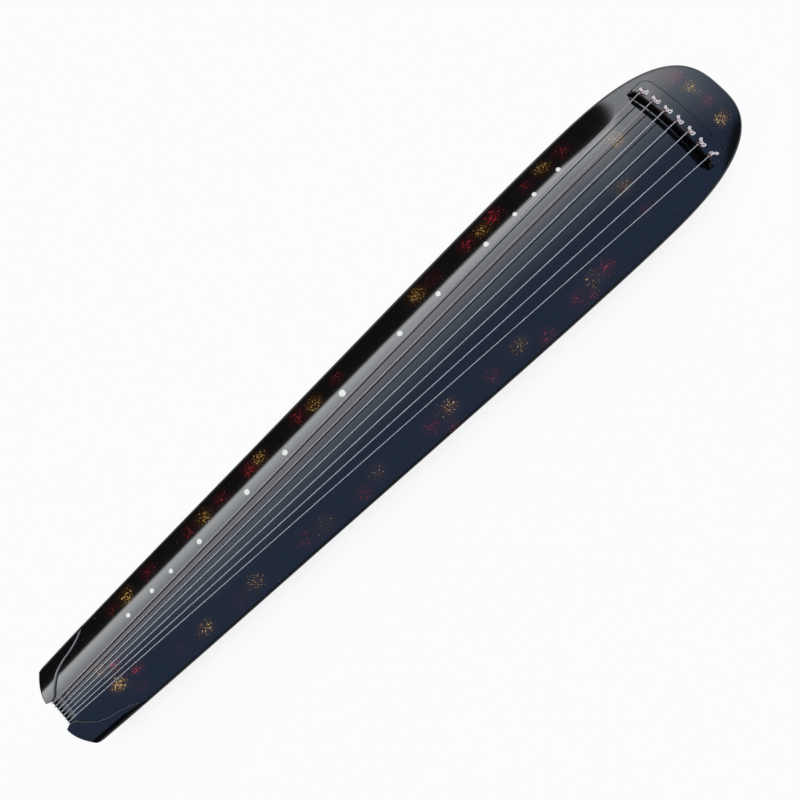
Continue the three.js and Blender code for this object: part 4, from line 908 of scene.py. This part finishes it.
# The whole path of a string and its radii: the knot is of thicker wire, which thins out just past it
def stringPath(i):
    r = stringRadius[i]
    outside = string["touch"] + r
    top = float(archHeight(bridgeX, bridgeY[i])) + bridge["height"] + r + string["touch"]
    start, stop = math.radians(string["start"]), math.radians(string["stop"])
    knot = knotPath(i, np.linspace(start, stop, 120))

    def over(x, drop):
        return np.array([[bridgeX + x, bridgeY[i], top - drop]])

    rise = [over(bridge["top"] + string["behind"] * share, string["below"] * drop)
            for share, drop in string["overBridge"]]
    rise = np.concatenate([knotPath(i, [stop - string["knotTail"], stop]), *rise,
                           over(bridge["top"] - bridge["topRound"], 0)])
    neck = np.concatenate([smoothPath(rise, 40)[12:], over(bridge["topRound"], 0)])
    y = (0.5 - i / 6) * string["tailSpan"]
    nutR, saddleR = string["nutRound"], string["saddleRound"]
    straight = np.linspace(neck[-1], [nutX, y, nutTop + outside], 60)[1:]
    nutArc = arcAt(notchX + nutR, nutTop - string["nutEndDrop"] - nutR, y, nutR + outside, 1, 2, 12)
    low = body["stand"] - string["saddleRise"] + saddleR
    saddleArc = arcAt(notchX + saddleR, low, y, saddleR + outside, 2, 3, 12)
    path = np.concatenate([knot, neck, straight, nutArc, saddleArc, windingPath(i, saddleArc[-1])])
    blend = np.clip((np.arange(len(path)) - len(knot)) / string["thinning"], 0, 1)
    return path, string["wire"] / 2 * (1 - blend) + r * blend


# Peg cords: two strands laid round each other along a route up the hole and round the string's neck
cord = {"width": 1.6 * mm, "rise": 8 * mm, "belowBridge": 0.5 * mm, "strand": 0.44 * mm, "lay": 3.2 * mm,
        "tieTurns": 1.5, "tieStart": 0.35, "tieFrom": 0.6, "tieOut": 0.2 * mm, "clear": 0.3 * mm,
        "aside": [0.31, 0.12, 0.94],
        "route": [(0, 0, -2), (0, -1.1, 0.2), (0.7, -1.7, 3.6), (-1, -1.9, 5.9), (-5.4, -1.9, 4.4),
                  (-10.3, -2, 5.8), (-11.1, -2.4, 10.8), (-11, 0, 14.6), (-11.1, 2.4, 10.8), (-10.3, 2, 5.8),
                  (-5.4, 1.9, 4.4), (-1, 1.9, 5.9), (0.7, 1.7, 3.6), (0, 1.1, 0.2), (0, 1.2, -3)]}


# Each strand turns round the route once for every lay length
def strands(route):
    along = np.concatenate([[0], np.cumsum(np.linalg.norm(np.diff(route, axis=0), axis=1))])
    count = max(int(along[-1] / cord["lay"] * 10), 20)
    at = np.linspace(0, along[-1], count)
    path = np.column_stack([np.interp(at, along, route[:, k]) for k in range(3)])
    run = directions(path)
    side = np.cross(run, cord["aside"])
    side /= np.linalg.norm(side, axis=1)[:, None]
    up = np.cross(run, side)
    angle = (at / cord["lay"] * turn)[:, None]
    off = (cord["width"] / 2 - cord["strand"]) * (side * np.cos(angle) + up * np.sin(angle))
    return [(path + off, cord["strand"]), (path - off, cord["strand"])]


# From the peg's bore straight up the hole, and then the route, raised towards the bridge as the arch is
def makeCord(i):
    topAt = float(archHeight(holeX, bridgeY[i]))
    low = peg["top"] - peg["crossDepth"] + cord["width"] + cord["clear"]
    start = [[holeX, bridgeY[i], low], [holeX, bridgeY[i], (low + topAt) / 2]]
    knotAt = float(archHeight(bridgeX, bridgeY[i])) - cord["belowBridge"]
    route = np.array(cord["route"]) * mm
    route[:, 2] += topAt + (knotAt - topAt) * np.clip(-route[:, 0] / cord["rise"], 0, 1)
    route[:, :2] += [holeX, bridgeY[i]]
    return tubes("pegCord_%d" % (i + 1), strands(smoothPath(np.concatenate([start, route]), 240)), 8)


# Out of the cross hole, and then a screw line round the peg's waist
def makeTie(i):
    reach = peg["waist"] + cord["width"] / 2 + string["touch"]
    wound = np.linspace(0, turn * cord["tieTurns"], 80)
    angle = cord["tieStart"] + wound
    rise = cord["width"] + string["windingGap"]
    wound = np.column_stack([reach * np.cos(angle), reach * np.sin(angle), -rise * wound / turn])
    out = np.zeros((8, 3))
    out[:, 0] = np.linspace(cord["tieFrom"] * peg["bore"], peg["waist"] + cord["tieOut"], 8)
    path = np.concatenate([out, wound]) + [holeX, bridgeY[i], peg["top"] - peg["crossDepth"]]
    return tubes("pegCordTie_%d" % (i + 1), strands(path), 8)


# Position markers: thin shell discs, slightly domed, tilted with the arch, at shares of the speaking length
hui = {"shares": [1 / 8, 1 / 6, 1 / 5, 1 / 4, 1 / 3, 2 / 5, 1 / 2, 3 / 5, 2 / 3, 3 / 4, 4 / 5, 5 / 6, 7 / 8],
       "sizes": [0.65, 0.65, 0.65, 0.75, 0.75, 0.8, 1, 0.8, 0.8, 0.75, 0.65, 0.65, 0.65], "largest": 10 * mm,
       "thickness": 1.4 * mm, "rise": 0.1 * mm, "line": 70.6 * mm, "slope": 0.0395,
       "profile": [(0.05, 1), (0.25, 0.98), (0.5, 0.92), (0.75, 0.8), (0.9, 0.6), (0.97, 0.35), (1, 0)]}


def makeHui(i):
    x = bridgeX - hui["shares"][i] * (bridgeX - nutX)
    y = hui["line"] - (bridgeX - x) * hui["slope"]
    step = hui["largest"] / 2
    tilt = math.atan2(float(archHeight(x, y - step) - archHeight(x, y + step)), step * 2)
    radii, heights = np.array(hui["profile"] + [(1, -hui["thickness"] / hui["rise"])]).T
    radii = radii * hui["sizes"][i] * hui["largest"] / 2
    piece = turned("hui_%d_shell" % (i + 1), radii, heights * hui["rise"], 0, 0, 48)
    piece.data.transform(Matrix.Translation((x, y, float(archHeight(x, y)))) @ Matrix.Rotation(-tilt, 4, "X"))
    return piece


top = settle(topBoard(), ["top_board"], lacquer)
print("top board made")
settle(makeBottom(), ["bottom_board"], lacquer)
print("bottom board made")
settle(makeBridge(), ["bridge"], ebony)
settle(makeFillet(), [], lacquer)
inlaid = settle(makeInlay(), ["head_inlay"], hardwood)
angle = np.arange(40)[:, None] * turn / 40
ring = inlay["holeWidth"] / 2 * np.hstack([np.cos(angle), np.sin(angle)])
for piece in (top, inlaid):
    cutBy(piece, [prism(ring + [holeX, y], body["joint"] - mm, 95 * mm) for y in bridgeY])
for word, side in (("Far", 1), ("Near", -1)):
    settle(makeCap(word, side), ["tail_cap_" + word.lower()], hardwood)
    settle(makeFoot(word, side), ["foot_" + word.lower()], hardwood)
    finished("peg_guard_" + word.lower(), 1.2 * mm, hardwood)
nut = finished("tail_nut", 0.4 * mm, hardwood)
nutPlace = np.array([vertex.co[:] for vertex in nut.data.vertices])
# painted shade on the nut's rounded end towards the tail
paint(nut, "rim", np.clip((notchX + string["nutShade"] - nutPlace[:, 0]) / string["nutFade"], 0, 1))
finished("tail_saddle", 0.4 * mm, hardwood)
finished("peg_board", 0.4 * mm, hardwood, segments=2)
for node, width in (("foot_block", 1.0), ("heaven_post", 0.4), ("earth_post", 0.4)):
    finished(node, width * mm, wood)
print("fittings made")
for i in range(13):
    settle(makeHui(i), ["hui_%d" % (i + 1)], shell)
for i in range(7):
    piece = tubes("string_%d_wound" % (i + 1), [stringPath(i)], 14)
    settle(piece, ["string_%d" % (i + 1)], thick if i < 2 else thin)
    settle(makeCord(i), ["peg_cord_%d" % (i + 1)], silk)
    settle(makePeg(i), ["tuning_peg_%d" % (i + 1)], pegWood, "peg_%d" % (i + 1))
    settle(makeTie(i), ["peg_cord_tie_%d" % (i + 1)], silk, "peg_%d" % (i + 1))
print("strings, cords and pegs made")


# Floor, light and camera
cameraPlace = {"x": 19.985 * mm, "y": -128.296 * mm, "z": 1020.889 * mm, "turned": 0.06623, "tilt": 0.12257,
               "roll": -0.82889, "focal": 0.9, "sensor": 36, "nearest": 0.01}


def makeCamera():
    data = bpy.data.cameras.new("camera")
    data.sensor_width = cameraPlace["sensor"]
    data.lens = cameraPlace["sensor"] * cameraPlace["focal"]
    data.clip_start = cameraPlace["nearest"]
    camera = bpy.data.objects.new("camera", data)
    bpy.context.scene.collection.objects.link(camera)
    place = Matrix.Translation((cameraPlace["x"], cameraPlace["y"], cameraPlace["z"]))
    for angle, axis in (("turned", "Z"), ("tilt", "X"), ("roll", "Z")):
        place = place @ Matrix.Rotation(cameraPlace[angle], 4, axis)
    camera.matrix_world = place
    bpy.context.scene.camera = camera


# Pale floor: it keeps the shadow, and shows mostly white where it is seen directly, mirrored or through
def makeFloor(size=6.0):
    corners = [(-size, -size, 0), (size, -size, 0), (size, size, 0), (-size, size, 0)]
    floor = newPiece("floor", corners, [(0, 1, 2, 3)], False)
    material = bpy.data.materials.new("paleFloor")
    material.use_nodes = True
    tree = material.node_tree
    tree.nodes.clear()
    diffuse = addNode(tree, "BsdfDiffuse", Color=(1, 1, 1, 1))[0]
    glow = addNode(tree, "Emission", Color=(1, 1, 1, 1), Strength=1.0)[0]
    path = addNode(tree, "LightPath")
    seen = addNode(tree, "Math", larger, _0=path["Is Camera Ray"], _1=path["Is Glossy Ray"])[0]
    seen = addNode(tree, "Math", larger, _0=seen, _1=path["Is Transmission Ray"])[0]
    share = addNode(tree, "Math", times, _0=seen, _1=0.8)[0]
    mixed = addNode(tree, "MixShader", _0=share, _1=diffuse, _2=glow)[0]
    addNode(tree, "OutputMaterial", Surface=mixed)
    floor.data.materials.append(material)


# Studio light: a long curved card overhead, brightest along its far edge and fading to a dim cool blue on
# the near side, dark beyond the far edge, with a dark flag low down past the head and the pale backdrop at
# the horizon. The card's brightness follows edge = y + 0.577 z + x (0.637 x + 0.191 y - 0.188) of the
# direction (x, y, z), less 0.17 y past the head. Near the head the dark beyond the far edge leans in, and
# ends at an even grey card; towards the tail the dim part comes closer to the bright edge
def makeWorld():
    world = bpy.data.worlds.new("studio")
    bpy.context.scene.world = world
    world.use_nodes = True
    tree = world.node_tree
    tree.nodes.clear()
    look = addNode(tree, "TexCoord")["Generated"]
    x, y, z = addNode(tree, "SeparateXYZ", Vector=look)
    bend = addNode(tree, "Math", timesPlus, _0=x, _1=0.637, _2=-0.188)[0]
    bend = addNode(tree, "Math", timesPlus, _0=y, _1=0.191, _2=bend)[0]
    edge = addNode(tree, "Math", timesPlus, _0=z, _1=0.577, _2=y)[0]
    edge = addNode(tree, "Math", timesPlus, _0=x, _1=bend, _2=edge)[0]
    past = addNode(tree, "MapRange", smoothly, Value=x, _1=0.455, _2=0.49)[0]
    before = addNode(tree, "Math", timesPlus, _0=past, _1=-1.0, _2=1.0)[0]
    lean = addNode(tree, "MapRange", Value=x, _1=0.35, _2=0.47, _3=0.0, _4=0.036)[0]
    edge = addNode(tree, "Math", timesPlus, _0=lean, _1=before, _2=edge)[0]
    head = addNode(tree, "MapRange", smoothly, Value=x, _1=0.56, _2=0.7)[0]
    head = addNode(tree, "Math", times, _0=y, _1=head)[0]
    edge = addNode(tree, "Math", timesPlus, _0=head, _1=-0.17, _2=edge)[0]
    tail = addNode(tree, "MapRange", smoothly, Value=x, _1=-0.34, _2=-0.54)[0]
    dim = addNode(tree, "MapRange", smoothly, Value=edge, _1=0.95, _2=0.7)[0]
    dim = addNode(tree, "Math", times, _0=tail, _1=dim)[0]
    edge = addNode(tree, "Math", timesPlus, _0=dim, _1=-0.27, _2=edge)[0]
    place = addNode(tree, "MapRange", Value=edge, _1=0.4, _2=1.2)[0]
    ramp = addNode(tree, "ValToRGB", Fac=place)[0]
    setStops(ramp.node.color_ramp, [
        (0, "#344158"), (0.1, "#39455a"), (0.225, "#444f5e"), (0.35, "#545e6e"), (0.475, "#68737e"),
        (0.6, "#7c838e"), (0.725, "#a5a7ab"), (0.788, "#b8bdc2"), (0.85, "#e4e7ea"), (0.868, "#eff1f3"),
        (0.883, "#171514"), (1, "#111010")])
    beyond = addNode(tree, "MapRange", smoothly, Value=edge, _1=0.99, _2=1.04)[0]
    cover = addNode(tree, "Math", times, _0=past, _1=beyond)[0]
    carded = addNode(tree, "Mix", ofColours, _0=cover, _6=ramp, _7=colour("#aeb1b5"))[2]
    flag = addNode(tree, "VectorMath", {"operation": "DOT_PRODUCT"}, _0=look, _1=(0.83, -0.44, 0.34))["Value"]
    flag = addNode(tree, "MapRange", smoothly, Value=flag, _1=0.94, _2=0.975)[0]
    flagged = addNode(tree, "Mix", ofColours, _0=flag, _6=carded, _7=colour("#15181b"))[2]
    high = addNode(tree, "MapRange", smoothly, Value=z, _1=0.05, _2=0.4)[0]
    fore = addNode(tree, "MapRange", smoothly, Value=x, _1=-0.85, _2=-0.62)[0]
    lit = addNode(tree, "Math", times, _0=high, _1=fore)[0]
    room = addNode(tree, "Mix", ofColours, _0=lit, _6=colour("#15181b"), _7=flagged)[2]
    card = addNode(tree, "Background", Color=room, Strength=1.9)[0]
    white = addNode(tree, "Background", Color=(1, 1, 1, 1), Strength=1.0)[0]
    horizon = addNode(tree, "MapRange", smoothly, Value=z, _1=0.07, _2=0.02)[0]
    seen = addNode(tree, "LightPath")["Is Camera Ray"]
    share = addNode(tree, "Math", larger, _0=seen, _1=horizon)[0]
    addNode(tree, "OutputWorld", Surface=addNode(tree, "MixShader", _0=share, _1=card, _2=white)[0])


# Fill light from straight above, so soft that it leaves no hard shadow; mirrored light leaves it out
def makeLamp():
    data = bpy.data.lights.new("fill", "SUN")
    data.energy, data.angle = 2.0, math.radians(50)
    lamp = bpy.data.objects.new("fill", data)
    lamp.visible_glossy = False
    bpy.context.scene.collection.objects.link(lamp)


makeCamera()
makeFloor()
makeWorld()
makeLamp()
bpy.context.scene.view_settings.view_transform = "Standard"
print("camera, floor and light made")
